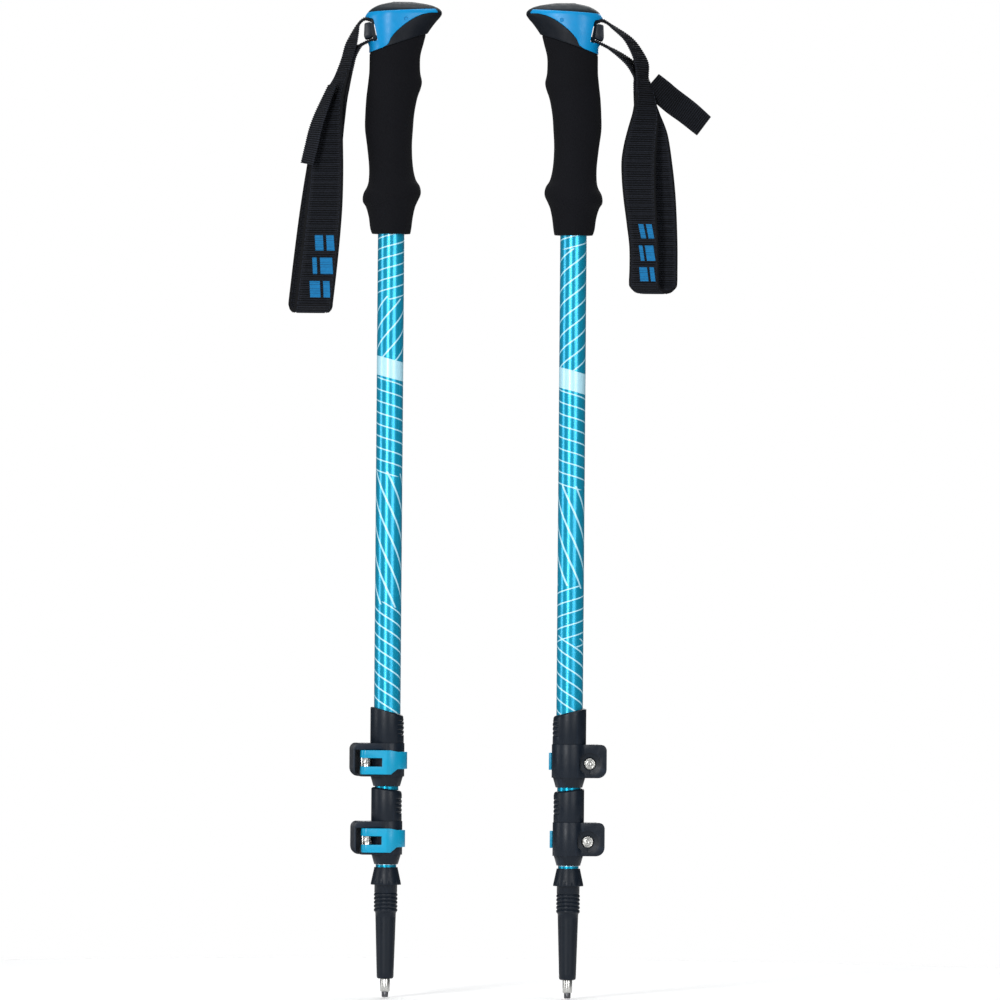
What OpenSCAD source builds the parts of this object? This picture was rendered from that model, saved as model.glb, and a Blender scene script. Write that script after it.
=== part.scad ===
// A pair of three-section trekking poles with lever locks, stored at their shortest.
// Each pole stands upright on its tip. The origin is the end of the left pole's tip, +Z runs up
// the left tube, and the right pole is the same pole turned half a turn about its own tube.
// In a pole's own frame the beak of the head points to +X, the strap and the ears of the locks
// to -X, and the levers to -Y.

/* [Pair] */
// Distance between the two poles' centre lines
pole_spacing = 124; // [116:2:300]

/* [Tubes] */
// Outer diameter of the lower tube, the thinnest of the three
lower_tube_d = 14; // [11:0.5:18]
// Wall of every tube
tube_wall = 0.7; // [0.5:0.05:1.2]
// Radial gap between one tube and the next one out
tube_gap = 0.3; // [0.2:0.05:0.6]
// Length of the upper tube between its lower end and the foam grip
bare_tube_len = 346; // [240:1:480]
// How far each inner tube stops short of the one outside it
tube_stagger = 50; // [20:1:100]

/* [Tip] */
// Diameter of the carbide insert
insert_d = 4.6; // [3:0.1:5.6]
// Length of the insert that stands out of the ferrule
insert_len = 3.7; // [2:0.1:6]
// Diameter of the steel ferrule
ferrule_d = 6.6; // [5.6:0.1:8]
// Length of the ferrule that stands out of the moulded tip
ferrule_len = 8.9; // [6:0.1:14]
// Length of the moulded tip
tip_len = 75.8; // [60:0.1:100]
// Diameter of the moulded tip at its lower end
tip_end_d = 11.5; // [9.5:0.1:13]
// Number of thread ribs that a basket screws onto
rib_count = 5; // [3:1:6]
// Pitch of the thread ribs
rib_pitch = 2.6; // [2:0.1:3.5]
// Height of the fluted bell at the top of the tip
bell_h = 11.9; // [8:0.1:18]

/* [Locks] */
// Wall of the moulded collar around the tube that it is fixed to
collar_wall = 2.4; // [1.8:0.1:4]
// Wall of the collar's slit sleeve under the clamp band
core_wall = 1.3; // [1:0.1:2]
// Height of the tapered skirt under the clamp band
skirt_h = 6.6; // [4:0.1:12]
// Height of the clamp band
clamp_h = 22.7; // [21:0.1:32]
// Height of the collar above the clamp band on the lower lock
lower_collar_h = 23.4; // [16:0.1:36]
// Height of the collar above the clamp band on the upper lock
upper_collar_h = 25; // [16:0.1:36]
// Height of the lever where it is widest
lever_h = 16.4; // [14:0.1:19]
// Thickness of the lever plate
lever_t = 1.9; // [1.4:0.1:2.6]
// Gap that the clamp band closes as the lever shuts
slit_w = 1.6; // [1:0.1:3]
// Radius of the tension screw
screw_r = 1.5; // [1:0.05:1.8]
// Radius of the cross barrel that the lever turns on
barrel_r = 2.4; // [2.2:0.05:2.6]

/* [Grip] */
// Length of the foam grip, measured at the tube
foam_len = 130; // [100:1:170]
// Thickness of the foam at its waist
foam_t = 4.7; // [3:0.1:9]
// Height of the moulded head above the foam
head_h = 28; // [24:0.5:40]

/* [Strap] */
// Width of the webbing
webbing_w = 20; // [14:0.5:22]
// Thickness of the webbing
webbing_t = 1.6; // [1:0.1:2]
// Half thickness of the padded part of the strap
pad_half_t = 1.3; // [0.8:0.1:2]

/* [Hidden] */
$fn = 64;
eps = 0.01;

// Clearances
slide_gap = 0.1;    // radial, between a lock's bore and the tube that slides in it
run_gap = 0.05;     // radial, on everything that turns or slides on a bearing
lever_gap = 0.3;    // between the shut lever and the clamp band
free_gap = 0.4;     // between two pieces that only pass each other

// Tubes, from the inside out
middle_tube_d = lower_tube_d + 2 * (tube_gap + tube_wall);
upper_tube_d = middle_tube_d + 2 * (tube_gap + tube_wall);
upper_r = upper_tube_d / 2;

// Heights along the pole, from the end of the tip
tip_z = insert_len + ferrule_len;
tip_top_z = tip_z + tip_len;
socket_depth = 17.4;
visible_lower_tube = 2;
lower_lock_z = tip_top_z + visible_lower_tube;
lower_lock_h = skirt_h + clamp_h + lower_collar_h;
upper_lock_z = lower_lock_z + lower_lock_h + free_gap;
upper_lock_h = skirt_h + clamp_h + upper_collar_h;
upper_tube_z = upper_lock_z + skirt_h + clamp_h;
foam_z = upper_tube_z + bare_tube_len;
head_z = foam_z + foam_len;
upper_tube_top = head_z - 9;
spigot_len = 30;
guide_head = 4.5;
guide_stem = 12;
middle_top = upper_tube_top - spigot_len - tube_stagger / 2 - guide_head;
lower_top = middle_top - tube_stagger;

// Tip
shank_r = 2.5;
shank_len = 12;
tip_cavity_r = 4;
neck_h = 5.5;

// Locks: the lever's pivot stands in front of the ears, on the screw's axis
eye_r = 4;
cam_throw = 0.3;
saddle_t = 0.8;
band_step = 0.5;
ear_len = 13.6;
ear_back_t = 6.2;
front_ear_short = 2.6;
lever_z = skirt_h + 9.7;
screw_head_r = 4;
screw_head_t = 2.2;
dish_r = 7.4;
dish_depth = 1.4;
rim_t = 1.5;

function bore_r(inner_d) = inner_d / 2 + slide_gap;
function core_r(inner_d) = bore_r(inner_d) + core_wall;
function collar_r(inner_d) = inner_d / 2 + tube_gap + tube_wall + collar_wall;
function band_r(inner_d) = collar_r(inner_d) + band_step;
function screw_x(inner_d) = -band_r(inner_d) - 2.1;
function lever_r(inner_d) = band_r(inner_d) + lever_gap + lever_t;
function pivot_y(inner_d) = -lever_r(inner_d) + eye_r;
function ear_front_y(inner_d) = pivot_y(inner_d) + eye_r + cam_throw + run_gap + saddle_t;
function collar_slant(inner_d, drop) = atan(drop / (2 * collar_r(inner_d)));

// Grip and head sections: share of the foam's length, then how far the back, the front and the
// sides stand out from the waist
FOAM_ROWS = [
  [0.00, -0.7, -0.7, -0.7], [0.03, 0.6, 0.0, 0.2], [0.09, 1.7, 1.0, 1.0], [0.14, 3.6, 2.4, 2.4],
  [0.17, 5.8, 4.0, 3.6], [0.21, 5.4, 6.2, 3.8], [0.25, 2.8, 5.6, 2.6], [0.29, 1.8, 2.6, 1.4],
  [0.36, 1.8, 0.7, 0.8], [0.46, 3.2, 0.0, 0.8], [0.55, 4.7, 0.6, 1.0], [0.63, 4.6, 1.4, 1.1],
  [0.71, 4.0, 3.3, 1.2], [0.765, 3.2, 5.7, 1.4], [0.80, 2.7, 6.4, 1.5], [0.85, 2.1, 5.2, 1.5],
  [0.93, 2.0, 5.2, 1.7], [1.00, 2.2, 7.4, 2.0], [1.06, 2.8, 9.4, 2.4]];
// The head's rows: height above the foam's end, then back, front and side from the tube's middle
HEAD_ROWS = [
  [-9, 16.0, 19.0, 15.6], [-3, 15.9, 20.3, 15.8], [1.5, 17.3, 22.0, 16.2], [6, 17.8, 23.5, 16.8],
  [10, 18.1, 26.0, 17.2], [14, 18.5, 29.0, 17.4], [17.5, 18.8, 32.0, 17.4], [20, 17.4, 33.4, 17.2],
  [22, 15.8, 32.9, 16.4], [24, 13.0, 30.6, 14.8], [26, 8.6, 25.4, 11.4], [27.6, 1.0, 16.0, 5.4],
  [28, -4.0, 12.0, 2.0]];
FOAM_TOP_SLOPE = 18.7;

// Strap: where it hinges on each pole, and the two arms that run from the head to that line
HINGE_LEFT = [-28.8, -7.8];
HINGE_RIGHT = [-44.5, -20];
UPPER_ARM_LEFT = [[-28.3, -1.3], [-26, 5.7], [-23.5, 12.2]];
UPPER_ARM_RIGHT = [[-45.3, -12.5], [-41.6, -3.9], [-36.1, 4], [-27.5, 10.8]];
LOWER_ARM_LEFT = [[-19.5, -0.2], [-24, -3.3]];
LOWER_ARM_RIGHT = [[-20, -0.6], [-26.7, -4.2], [-34.3, -9.5], [-39.8, -14.6]];
// Inside the head the webbing goes over the wedge, round the pin and back under the wedge
ANCHOR_IN = [[-19.5, 16], [-15.5, 15.4], [-12, 13.2], [-9.5, 11.1], [-7.3, 10.2], [-6.4, 8],
             [-7.3, 5.8], [-9.5, 4.9], [-12, 2.8], [-15.5, 1.4]];
PIN = [-9.5, 8];
PIN_R = 1.6;
STRAP_END_GAP = 1.9;
// Hanging loop: x and z from the hinge, turn of the webbing about the vertical, half the space
// between the two layers, how far each edge of the padding stands out past the webbing and how
// far the back layer stands out past the front one
LOOP_LEFT = [
  [-0.8, -2, 90, 1.05, 0, 0], [-5, -16, 100, 1.2, 0, 0], [-10.5, -31, 130, 2, 0.5, 0.5],
  [-14.5, -49, 160, 3.4, 1, 1.5], [-16.5, -76, 175, 5.2, 1.5, 3], [-19, -106, 180, 6.4, 2.5, 4],
  [-22.5, -141, 180, 6.4, 3, 4.5], [-25.5, -169, 180, 4.8, 3, 4.5]];
LOOP_RIGHT = [
  [-0.5, -2, 90, 1.05, 0, 0], [-2.6, -13, 68, 1.4, 0, -1.5], [-4.3, -27, 42, 2.2, 0.5, -5],
  [-5, -40, 20, 3.4, 1, -9.5], [-4.9, -59, 5, 5.2, 2, -12], [-7, -84, 0, 6.4, 1.5, -13.5],
  [-9.9, -117, 0, 6.4, 0, -13.3], [-9.9, -142, 0, 4.8, 0.5, -12.5]];
// Loose end of the webbing: x, y and z from the hinge and its turn about the vertical
TAIL_LEFT = [[-11.5, -2, -19, 112], [-18.3, -5.5, -37, 132], [-26.3, -8, -56, 130],
             [-30.5, -8, -77, 120]];
TAIL_RIGHT = [[-15, -4, -12, 158], [-22.5, -4, -18.2, 158], [-32.7, -3, -25.7, 155],
              [-43.6, -2, -34.8, 150]];

// ---- Curves and lofts ----

// A point on the smooth curve through four rows, between the second and the third
function curve(a, b, c, d, t) = 0.5 * (2 * b + (c - a) * t + (2 * a - 5 * b + 4 * c - d) * t * t
  + (3 * b - a - 3 * c + d) * t * t * t);

// Rows with the gaps between them filled by a smooth curve, n steps each
function smoothed(rows, n) = concat(
  [for (i = [0:len(rows) - 2], k = [0:n - 1])
    curve(rows[max(i - 1, 0)], rows[i], rows[i + 1], rows[min(i + 2, len(rows) - 1)], k / n)],
  [rows[len(rows) - 1]]);

function unit(v) = v / norm(v);

// Triangles that close a stack of rings of n points each
function ring_faces(rings, n) = concat(
  [for (r = [0:rings - 2], i = [0:n - 1]) let (j = (i + 1) % n)
    each [[r * n + i, r * n + j, (r + 1) * n + j], [r * n + i, (r + 1) * n + j, (r + 1) * n + i]]],
  [for (i = [1:n - 2]) [0, i + 1, i]],
  [for (i = [1:n - 2]) let (s = (rings - 1) * n) [s, s + i, s + i + 1]]);

// A solid through egg-shaped sections; each row is a height, back, front and side
module loft(rows, sides) {
  points = [for (row = rows, i = [0:sides - 1]) let (a = 360 * i / sides)
    [cos(a) * (cos(a) > 0 ? row[2] : row[1]), sin(a) * row[3], row[0]]];
  polyhedron(points, [for (f = ring_faces(len(rows), sides)) [f[2], f[1], f[0]]]);
}

// A flat band swept along points, with its half widths, half thicknesses and turns about the
// vertical; a sheared one keeps its width level
module ribbon(points, turns, half_ws, half_ts, sheared = false) {
  last = len(points) - 1;
  corners = [for (i = [0:last])
    let (along = unit(points[min(i + 1, last)] - points[max(i - 1, 0)]),
         across = [cos(turns[i]), sin(turns[i]), 0],
         w = sheared ? across : unit(across - along * (across * along)),
         n = unit(cross(along, w)))
    each [for (c = [[-1, -1], [1, -1], [1, 1], [-1, 1]])
      points[i] + w * c[0] * half_ws[i] + n * c[1] * half_ts[i]]];
  polyhedron(corners, [for (f = ring_faces(last + 1, 4)) [f[2], f[1], f[0]]]);
}

// A strip of constant thickness along points in the X-Z plane, its width along Y
module strip(points, thickness, width) {
  last = len(points) - 1;
  sides = [for (i = [0:last])
    let (along = unit(points[min(i + 1, last)] - points[max(i - 1, 0)]))
    [points[i] + [-along[1], along[0]] * thickness / 2, points[i] - [-along[1], along[0]] * thickness / 2]];
  rotate([90, 0, 0]) linear_extrude(height = width, center = true)
    polygon(concat([for (s = sides) s[0]], [for (i = [last:-1:0]) sides[i][1]]));
}

// ---- Tip ----

module tip_insert() {
  notches = 6;
  color([0.16, 0.16, 0.18]) difference() {
    union() {
      cylinder(h = 0.5, r1 = insert_d / 2 - 0.5, r2 = insert_d / 2);
      translate([0, 0, 0.5]) cylinder(h = insert_len - 0.5, r = insert_d / 2);
      translate([0, 0, insert_len - eps]) cylinder(h = 5, r = insert_d / 2 - 0.8);
    }
    for (i = [0:notches - 1]) rotate(i * 360 / notches)
      translate([insert_d / 2 + 0.1, 0, -eps]) cylinder(h = insert_len * 0.7, r = 0.55);
  }
}

module tip_ferrule() {
  chamfer = 0.6;
  r = ferrule_d / 2;
  color([0.78, 0.78, 0.76]) difference() {
    union() {
      translate([0, 0, insert_len]) cylinder(h = chamfer, r1 = r - chamfer, r2 = r);
      translate([0, 0, insert_len + chamfer]) cylinder(h = ferrule_len - chamfer, r = r);
      translate([0, 0, tip_z - eps]) cylinder(h = shank_len, r = shank_r);
    }
    translate([0, 0, insert_len - 1]) cylinder(h = 6 - eps, r = insert_d / 2 - 0.8);
  }
}

module tip_sleeve() {
  r = lower_tube_d / 2;
  flutes = 12;
  ribs_h = rib_count * rib_pitch;
  bell_z = tip_len - bell_h;
  ribs_z = bell_z - neck_h - ribs_h;
  ribs = [for (i = [0:rib_count - 1]) let (z = ribs_z + i * rib_pitch)
    each [[r + 0.4, z], [r + 1, z + 0.25 * rib_pitch], [r + 1, z + 0.7 * rib_pitch],
          [r + 0.4, z + 0.95 * rib_pitch]]];
  color([0.07, 0.08, 0.1]) translate([0, 0, tip_z]) difference() {
    rotate_extrude() polygon(concat(
      [[shank_r, 0], [tip_end_d / 2 - 1.2, 0], [tip_end_d / 2 - 0.35, 0.35], [tip_end_d / 2, 1.2],
       [r, ribs_z - 0.8]],
      ribs,
      [[r + 0.75, ribs_z + ribs_h], [r + 0.75, bell_z], [r + 3.25, bell_z], [r + 3.25, bell_z + 1],
       [r + 0.9, tip_len], [r, tip_len], [r, tip_len - socket_depth],
       [tip_cavity_r, tip_len - socket_depth], [tip_cavity_r, shank_len], [shank_r, shank_len]]));
    for (i = [0:flutes - 1]) rotate((i + 0.5) * 360 / flutes)
      translate([r + 4, 0, bell_z - 1]) cylinder(h = bell_h, r = 1.3);
  }
}

// ---- Tubes and guide bushes ----

module tube(d, from, to) {
  translate([0, 0, from]) difference() {
    cylinder(h = to - from, r = d / 2);
    translate([0, 0, -1]) cylinder(h = to - from + 2, r = d / 2 - tube_wall);
  }
}

module lower_tube() { color([0.05, 0.6, 0.82]) tube(lower_tube_d, tip_top_z - socket_depth, lower_top); }

module middle_tube() {
  color([0.05, 0.6, 0.82]) tube(middle_tube_d, lower_lock_z + skirt_h + clamp_h, middle_top);
}

module upper_tube() { color([0.05, 0.6, 0.82]) tube(upper_tube_d, upper_tube_z, upper_tube_top); }

// A bush whose stem turns in the tube below it and whose head slides in the tube outside it
module guide(tube_d, top) {
  groove_r = 1;
  head_r = tube_d / 2 + tube_gap - run_gap;
  color([0.85, 0.85, 0.83]) difference() {
    union() {
      translate([0, 0, top + run_gap]) cylinder(h = guide_head, r = head_r);
      translate([0, 0, top - guide_stem]) cylinder(h = guide_stem + 1, r = tube_d / 2 - tube_wall - run_gap);
    }
    for (a = [0:60:300]) rotate(a)
      translate([head_r + 0.5, 0, top]) cylinder(h = guide_head + 1, r = groove_r);
    translate([0, 0, top - guide_stem - 1]) cylinder(h = guide_stem + guide_head + 3, r = tube_d / 4);
  }
}

module middle_guide() { guide(middle_tube_d, middle_top); }

module lower_guide() { guide(lower_tube_d, lower_top); }

// ---- Lever locks; inner_d is the diameter of the tube that slides through the lock ----

module collar(inner_d, collar_h, drop) {
  r = collar_r(inner_d);
  seat_z = skirt_h + clamp_h;
  top = seat_z + collar_h;
  slant = collar_slant(inner_d, drop);
  cap_r = r / cos(slant) + 0.1;
  grip_ribs = 4;
  grip_rib_z = seat_z + 6;
  grip_rib_pitch = 3;
  color([0.08, 0.09, 0.11]) difference() {
    intersection() {
      rotate_extrude() polygon([
        [bore_r(inner_d), 0], [bore_r(inner_d) + 1, 0], [band_r(inner_d) - 0.9, skirt_h],
        [core_r(inner_d), skirt_h], [core_r(inner_d), seat_z], [r, seat_z], [r, top],
        [r - collar_wall, top], [r - collar_wall, seat_z], [bore_r(inner_d), seat_z]]);
      translate([0, 0, top - drop / 2]) rotate([0, slant, 0]) rotate_extrude() polygon([
        [0, 0], [cap_r - 2, 0], [cap_r - 1, -0.3], [cap_r - 0.3, -1], [cap_r, -2],
        [cap_r + top, -2 * top], [0, -2 * top]]);
    }
    translate([-r - 1, -slit_w / 2, -1]) cube([r, slit_w, seat_z + 1]);
    for (i = [0:grip_ribs - 1]) translate([0, 0, grip_rib_z + i * grip_rib_pitch]) rotate(-50)
      rotate_extrude(angle = 100) translate([r + 0.5, 0]) circle(r = 0.9);
  }
}

// Outline of an ear in the X-Z plane, from the clamp band to its rounded end
module ear_side(reach, low, high) {
  low_r = 6;
  high_r = 4;
  rotate([90, 0, 0]) linear_extrude(height = 60, center = true) hull() {
    translate([-reach + low_r, low + low_r]) circle(r = low_r, $fn = 32);
    translate([-reach + high_r, high - high_r]) circle(r = high_r, $fn = 32);
    translate([0, low]) square([30, high - low]);
  }
}

module clamp(inner_d) {
  band = band_r(inner_d);
  front = ear_front_y(inner_d);
  screw = screw_x(inner_d);
  rim_y = pivot_y(inner_d) - eye_r + 1.6;
  back_reach = band + ear_len;
  front_reach = back_reach - front_ear_short;
  pocket_h = lever_h + 2 * free_gap;
  color([0.07, 0.08, 0.1]) difference() {
    union() {
      translate([0, 0, skirt_h]) cylinder(h = clamp_h, r = band);
      difference() {
        intersection() {
          translate([0, 0, skirt_h]) linear_extrude(height = clamp_h) hull() {
            circle(r = band - 0.4, $fn = 32);
            translate([-front_reach, rim_y]) square([front_reach - 4, -rim_y]);
          }
          ear_side(front_reach, skirt_h, skirt_h + clamp_h);
        }
        translate([rim_t - front_reach, rim_y - 10, lever_z - pocket_h / 2])
          cube([60, front - rim_y + 10, pocket_h]);
      }
      intersection() {
        translate([-back_reach, 0, skirt_h]) cube([back_reach, slit_w / 2 + ear_back_t, clamp_h]);
        ear_side(back_reach, skirt_h, skirt_h + clamp_h);
      }
    }
    translate([0, 0, skirt_h - 1]) cylinder(h = clamp_h + 2, r = core_r(inner_d));
    translate([-60, -slit_w / 2, skirt_h - 1]) cube([60, slit_w, clamp_h + 2]);
    translate([screw, 0, lever_z]) rotate([90, 0, 0])
      cylinder(h = 60, r = screw_r + slide_gap, center = true);
    translate([screw, slit_w / 2 + ear_back_t - dish_depth, lever_z]) rotate([-90, 0, 0])
      cylinder(h = 10, r = dish_r);
    translate([screw, slit_w / 2 + ear_back_t - dish_depth - 1, lever_z]) rotate([-90, 0, 0])
      cylinder(h = 10, r = screw_head_r + free_gap);
    translate([screw, slit_w / 2 + ear_back_t - dish_depth - 0.5, lever_z - 6]) rotate([-90, 0, 0])
      cylinder(h = 2, r = 0.7);
  }
}

// The plate that the lever's cam bears on
module saddle(inner_d) {
  back = 3.4;
  front = 2.6;
  high = 13;
  color([0.75, 0.76, 0.78]) translate([screw_x(inner_d), ear_front_y(inner_d), lever_z]) difference() {
    translate([-back, -saddle_t, -high / 2]) cube([back + front, saddle_t, high]);
    rotate([90, 0, 0]) cylinder(h = 10, r = screw_r + slide_gap, center = true);
  }
}

module barrel(inner_d) {
  color([0.75, 0.76, 0.78]) translate([screw_x(inner_d), pivot_y(inner_d), lever_z]) difference() {
    cylinder(h = lever_h - 1, r = barrel_r, center = true);
    rotate([90, 0, 0]) cylinder(h = 10, r = screw_r + run_gap, center = true);
  }
}

module lever(inner_d) {
  outer = lever_r(inner_d);
  screw = screw_x(inner_d);
  eye_y = pivot_y(inner_d);
  wrap = 80;
  slot_h = 5.8;
  color([0.0, 0.56, 0.8]) translate([0, 0, lever_z]) difference() {
    intersection() {
      union() {
        translate([screw, eye_y, 0]) cylinder(h = lever_h, r = eye_r, center = true);
        translate([screw, eye_y + cam_throw, 0]) cylinder(h = lever_h, r = eye_r, center = true);
        translate([screw, -outer, -lever_h / 2]) cube([-screw, lever_t, lever_h]);
        rotate(-90) rotate_extrude(angle = wrap)
          translate([outer - lever_t, -lever_h / 2]) square([lever_t, lever_h]);
      }
      rotate([90, 0, 0]) linear_extrude(height = 60, center = true) polygon([
        [-30, -lever_h / 2], [3, -lever_h / 2], [7.4, -lever_h / 2 + 3.7], [30, -lever_h / 2 + 3.7],
        [30, lever_h / 2 - 1], [7.4, lever_h / 2 - 1], [3, lever_h / 2], [-30, lever_h / 2]]);
    }
    translate([screw, eye_y, 0]) cylinder(h = lever_h + 2, r = barrel_r + run_gap, center = true);
    translate([screw - 10, -outer - 1, -slot_h / 2]) cube([-screw + 7, 20, slot_h]);
  }
}

module screw(inner_d) {
  head_y = slit_w / 2 + ear_back_t - dish_depth - 1 + run_gap;
  tip_y = pivot_y(inner_d) - barrel_r - 0.6;
  color([0.8, 0.81, 0.83]) translate([screw_x(inner_d), head_y, lever_z]) rotate([-90, 0, 0])
    difference() {
      union() {
        translate([0, 0, tip_y - head_y]) cylinder(h = head_y - tip_y + eps, r = screw_r);
        cylinder(h = screw_head_t - 0.6, r = screw_head_r);
        translate([0, 0, screw_head_t - 0.6]) cylinder(h = 0.6, r1 = screw_head_r, r2 = screw_head_r - 0.6);
      }
      translate([0, 0, screw_head_t - 0.9]) difference() {
        cylinder(h = 2, r = 2.9);
        translate([0, 0, -1]) cylinder(h = 4, r = 2.2);
      }
      translate([0, 0, screw_head_t - 1]) cylinder(h = 2, r = 0.9, $fn = 6);
    }
}

upper_drop = 6.1;
lower_drop = 2.6;

module upper_collar() { translate([0, 0, upper_lock_z]) collar(middle_tube_d, upper_collar_h, upper_drop); }

module upper_clamp() { translate([0, 0, upper_lock_z]) clamp(middle_tube_d); }

module upper_saddle() { translate([0, 0, upper_lock_z]) saddle(middle_tube_d); }

module upper_barrel() { translate([0, 0, upper_lock_z]) barrel(middle_tube_d); }

module upper_lever() { translate([0, 0, upper_lock_z]) lever(middle_tube_d); }

module upper_screw() { translate([0, 0, upper_lock_z]) screw(middle_tube_d); }

module lower_collar() { translate([0, 0, lower_lock_z]) collar(lower_tube_d, lower_collar_h, lower_drop); }

module lower_clamp() { translate([0, 0, lower_lock_z]) clamp(lower_tube_d); }

module lower_saddle() { translate([0, 0, lower_lock_z]) saddle(lower_tube_d); }

module lower_barrel() { translate([0, 0, lower_lock_z]) barrel(lower_tube_d); }

module lower_lever() { translate([0, 0, lower_lock_z]) lever(lower_tube_d); }

module lower_screw() { translate([0, 0, lower_lock_z]) screw(lower_tube_d); }

// ---- Grip and head ----

// Everything above the slanted joint between the foam and the moulded head
module above_foam() {
  translate([0, 0, head_z - 1.6]) rotate([0, -FOAM_TOP_SLOPE, 0]) translate([-80, -60, 0]) cube([160, 120, 80]);
}

module grip_foam() {
  waist = upper_r + foam_t;
  color([0.05, 0.05, 0.06]) difference() {
    loft([for (row = smoothed(FOAM_ROWS, 2))
      [foam_z + row[0] * foam_len, waist + row[1], waist + row[2], waist + row[3]]], 32);
    above_foam();
    translate([0, 0, foam_z - 1]) cylinder(h = foam_len + 20, r = upper_r);
  }
}

// The whole head, before it is divided into cap, shell and body
module head_form() {
  grow = upper_r - 9;
  intersection() {
    translate([0, 0, head_z]) loft([for (row = smoothed(HEAD_ROWS, 2))
      [row[0] * (row[0] > 0 ? head_h / 28 : 1), row[1] + grow, row[2] + grow, row[3] + grow]], 32);
    above_foam();
  }
}

// The space above the line where the cap meets the shell
module above_shell() {
  translate([0, 0, head_z + head_h - 6.3]) rotate([0, -3.4, 0]) translate([-60, -60, 0]) cube([140, 120, 60]);
}

// The shell's side outline: a saddle that is deep at the back and runs out to the beak
module shell_side() {
  translate([0, 0, head_z]) rotate([90, 0, 0]) linear_extrude(height = 120, center = true)
    polygon([[-60, -25], [-15, -7], [-4, -2.2], [-1.3, 2.5], [1.8, 6.4], [5.8, 10.2], [11, 14.2],
             [16, 17.2], [22, 19.5], [30, 20.5], [60, 20.8], [60, 60], [-60, 60]]);
}

// The body's core, which fills the shell
module head_core() {
  translate([0, 0, head_z - 20]) linear_extrude(height = 60) hull() {
    translate([-7, 0]) circle(r = 7.5, $fn = 32);
    translate([14, 0]) circle(r = 7.5, $fn = 32);
    translate([2, 0]) circle(r = 11.5, $fn = 32);
  }
}

// The notch across the back of the head in side view, and the block that sits in it
NOTCH = [[-60, 0.7], [-10, 0.7], [-13.2, 16.4], [-60, 16.4]];
BLOCK = [[-13.7, 16], [-10.6, 1.1], [-15, 1.1], [-17, 3.6], [-19.3, 11], [-20, 16]];

module side_plate(outline, from_y, to_y) {
  translate([0, to_y, head_z]) rotate([90, 0, 0]) linear_extrude(height = to_y - from_y) polygon(outline);
}

// The slot for the strap at the back of the head, with its cross pin's hole
module strap_slot() {
  side_plate(NOTCH, -60, 60);
  slot_gap = 0.8;
  inner_wall_x = -5.1;
  translate([-60, -webbing_w / 2 - slot_gap, head_z - 0.9])
    cube([60 + inner_wall_x, webbing_w + 2 * slot_gap, 18]);
  strap_pin_solid();
}

module strap_pin_solid() {
  translate([PIN[0], 0, head_z + PIN[1]]) rotate([90, 0, 0])
    cylinder(h = webbing_w + 6, r = PIN_R, center = true);
}

module head_cap() {
  color([0.06, 0.06, 0.08]) intersection() {
    head_form();
    above_shell();
  }
}

module head_shell() {
  color([0.02, 0.5, 0.8]) difference() {
    intersection() {
      head_form();
      shell_side();
    }
    above_shell();
    head_core();
    strap_slot();
  }
}

module head_body() {
  color([0.12, 0.14, 0.17]) union() {
    difference() {
      head_form();
      difference() {
        shell_side();
        head_core();
      }
      above_shell();
      strap_slot();
    }
    translate([0, 0, upper_tube_top]) cylinder(h = head_z - 1.6 - upper_tube_top - 2, r = upper_r);
    translate([0, 0, upper_tube_top - spigot_len]) cylinder(h = spigot_len + eps, r = upper_r - tube_wall);
  }
}

module strap_pin() { color([0.6, 0.6, 0.62]) strap_pin_solid(); }

module strap_wedge() {
  cheek_gap = 0.5;
  cheek_y = webbing_w / 2 + cheek_gap;
  color([0.06, 0.06, 0.08]) union() {
    side_plate([[-19.2, 12.6], [-15.5, 13.7], [-12.8, 11.8], [-12.4, 8], [-12.8, 4.5], [-15.5, 2.9],
                [-18.6, 2.2], [-19.4, 4]], -cheek_y - eps, cheek_y + eps);
    intersection() {
      head_form();
      for (y = [-cheek_y - 10, cheek_y]) side_plate(BLOCK, y, y + 10);
    }
  }
}

// ---- Strap ----

// The webbing from the hinge line up over the wedge, round the pin and back
module strap_anchor(hinge, first, upper_arm, lower_arm) {
  along = unit([first[0], first[1]]);
  side = [along[1], -along[0]];
  end = hinge - along * STRAP_END_GAP;
  path = concat([end + side * 1.05], upper_arm, ANCHOR_IN, lower_arm, [end - side * 1.05]);
  color([0.06, 0.06, 0.07]) translate([0, 0, head_z]) strip(smoothed(path, 2), webbing_t, webbing_w);
}

// Layer points of the hanging loop: side 1 is the front layer and -1 the back one
function layer(rows, side) = [for (row = rows)
  let (w = [cos(row[2]), sin(row[2])], n = [-w[1], w[0]])
  [row[0] + (n[0] * row[3] - w[0] * row[5] / 2) * side, (n[1] * row[3] - w[1] * row[5] / 2) * side, row[1]]];

function reversed(list) = [for (i = [len(list) - 1:-1:0]) list[i]];

module strap_loop(hinge, rows) {
  fine = smoothed(rows, 3);
  last = fine[len(fine) - 1];
  front = layer(fine, 1);
  back = layer(fine, -1);
  flip = cos(last[2]);
  fold = [for (a = [30:30:150])
    [last[0] - flip * cos(a) * last[5] / 2, flip * cos(a) * last[3], last[1] - sin(a) * 1.2 * last[3]]];
  turns = [for (row = fine) row[2]];
  half_ws = [for (row = fine) webbing_w / 2 + row[4]];
  half_ts = [for (row = fine) min(pad_half_t, max(webbing_t / 2, row[3] - 0.3))];
  color([0.05, 0.05, 0.06]) translate([hinge[0], 0, head_z + hinge[1]]) ribbon(
    concat(front, fold, reversed(back)),
    concat(turns, [for (p = fold) last[2]], reversed(turns)),
    concat(half_ws, [for (p = fold) webbing_w / 2 + last[4]], reversed(half_ws)),
    concat(half_ts, [for (p = fold) pad_half_t], reversed(half_ts)), sheared = true);
}

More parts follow.
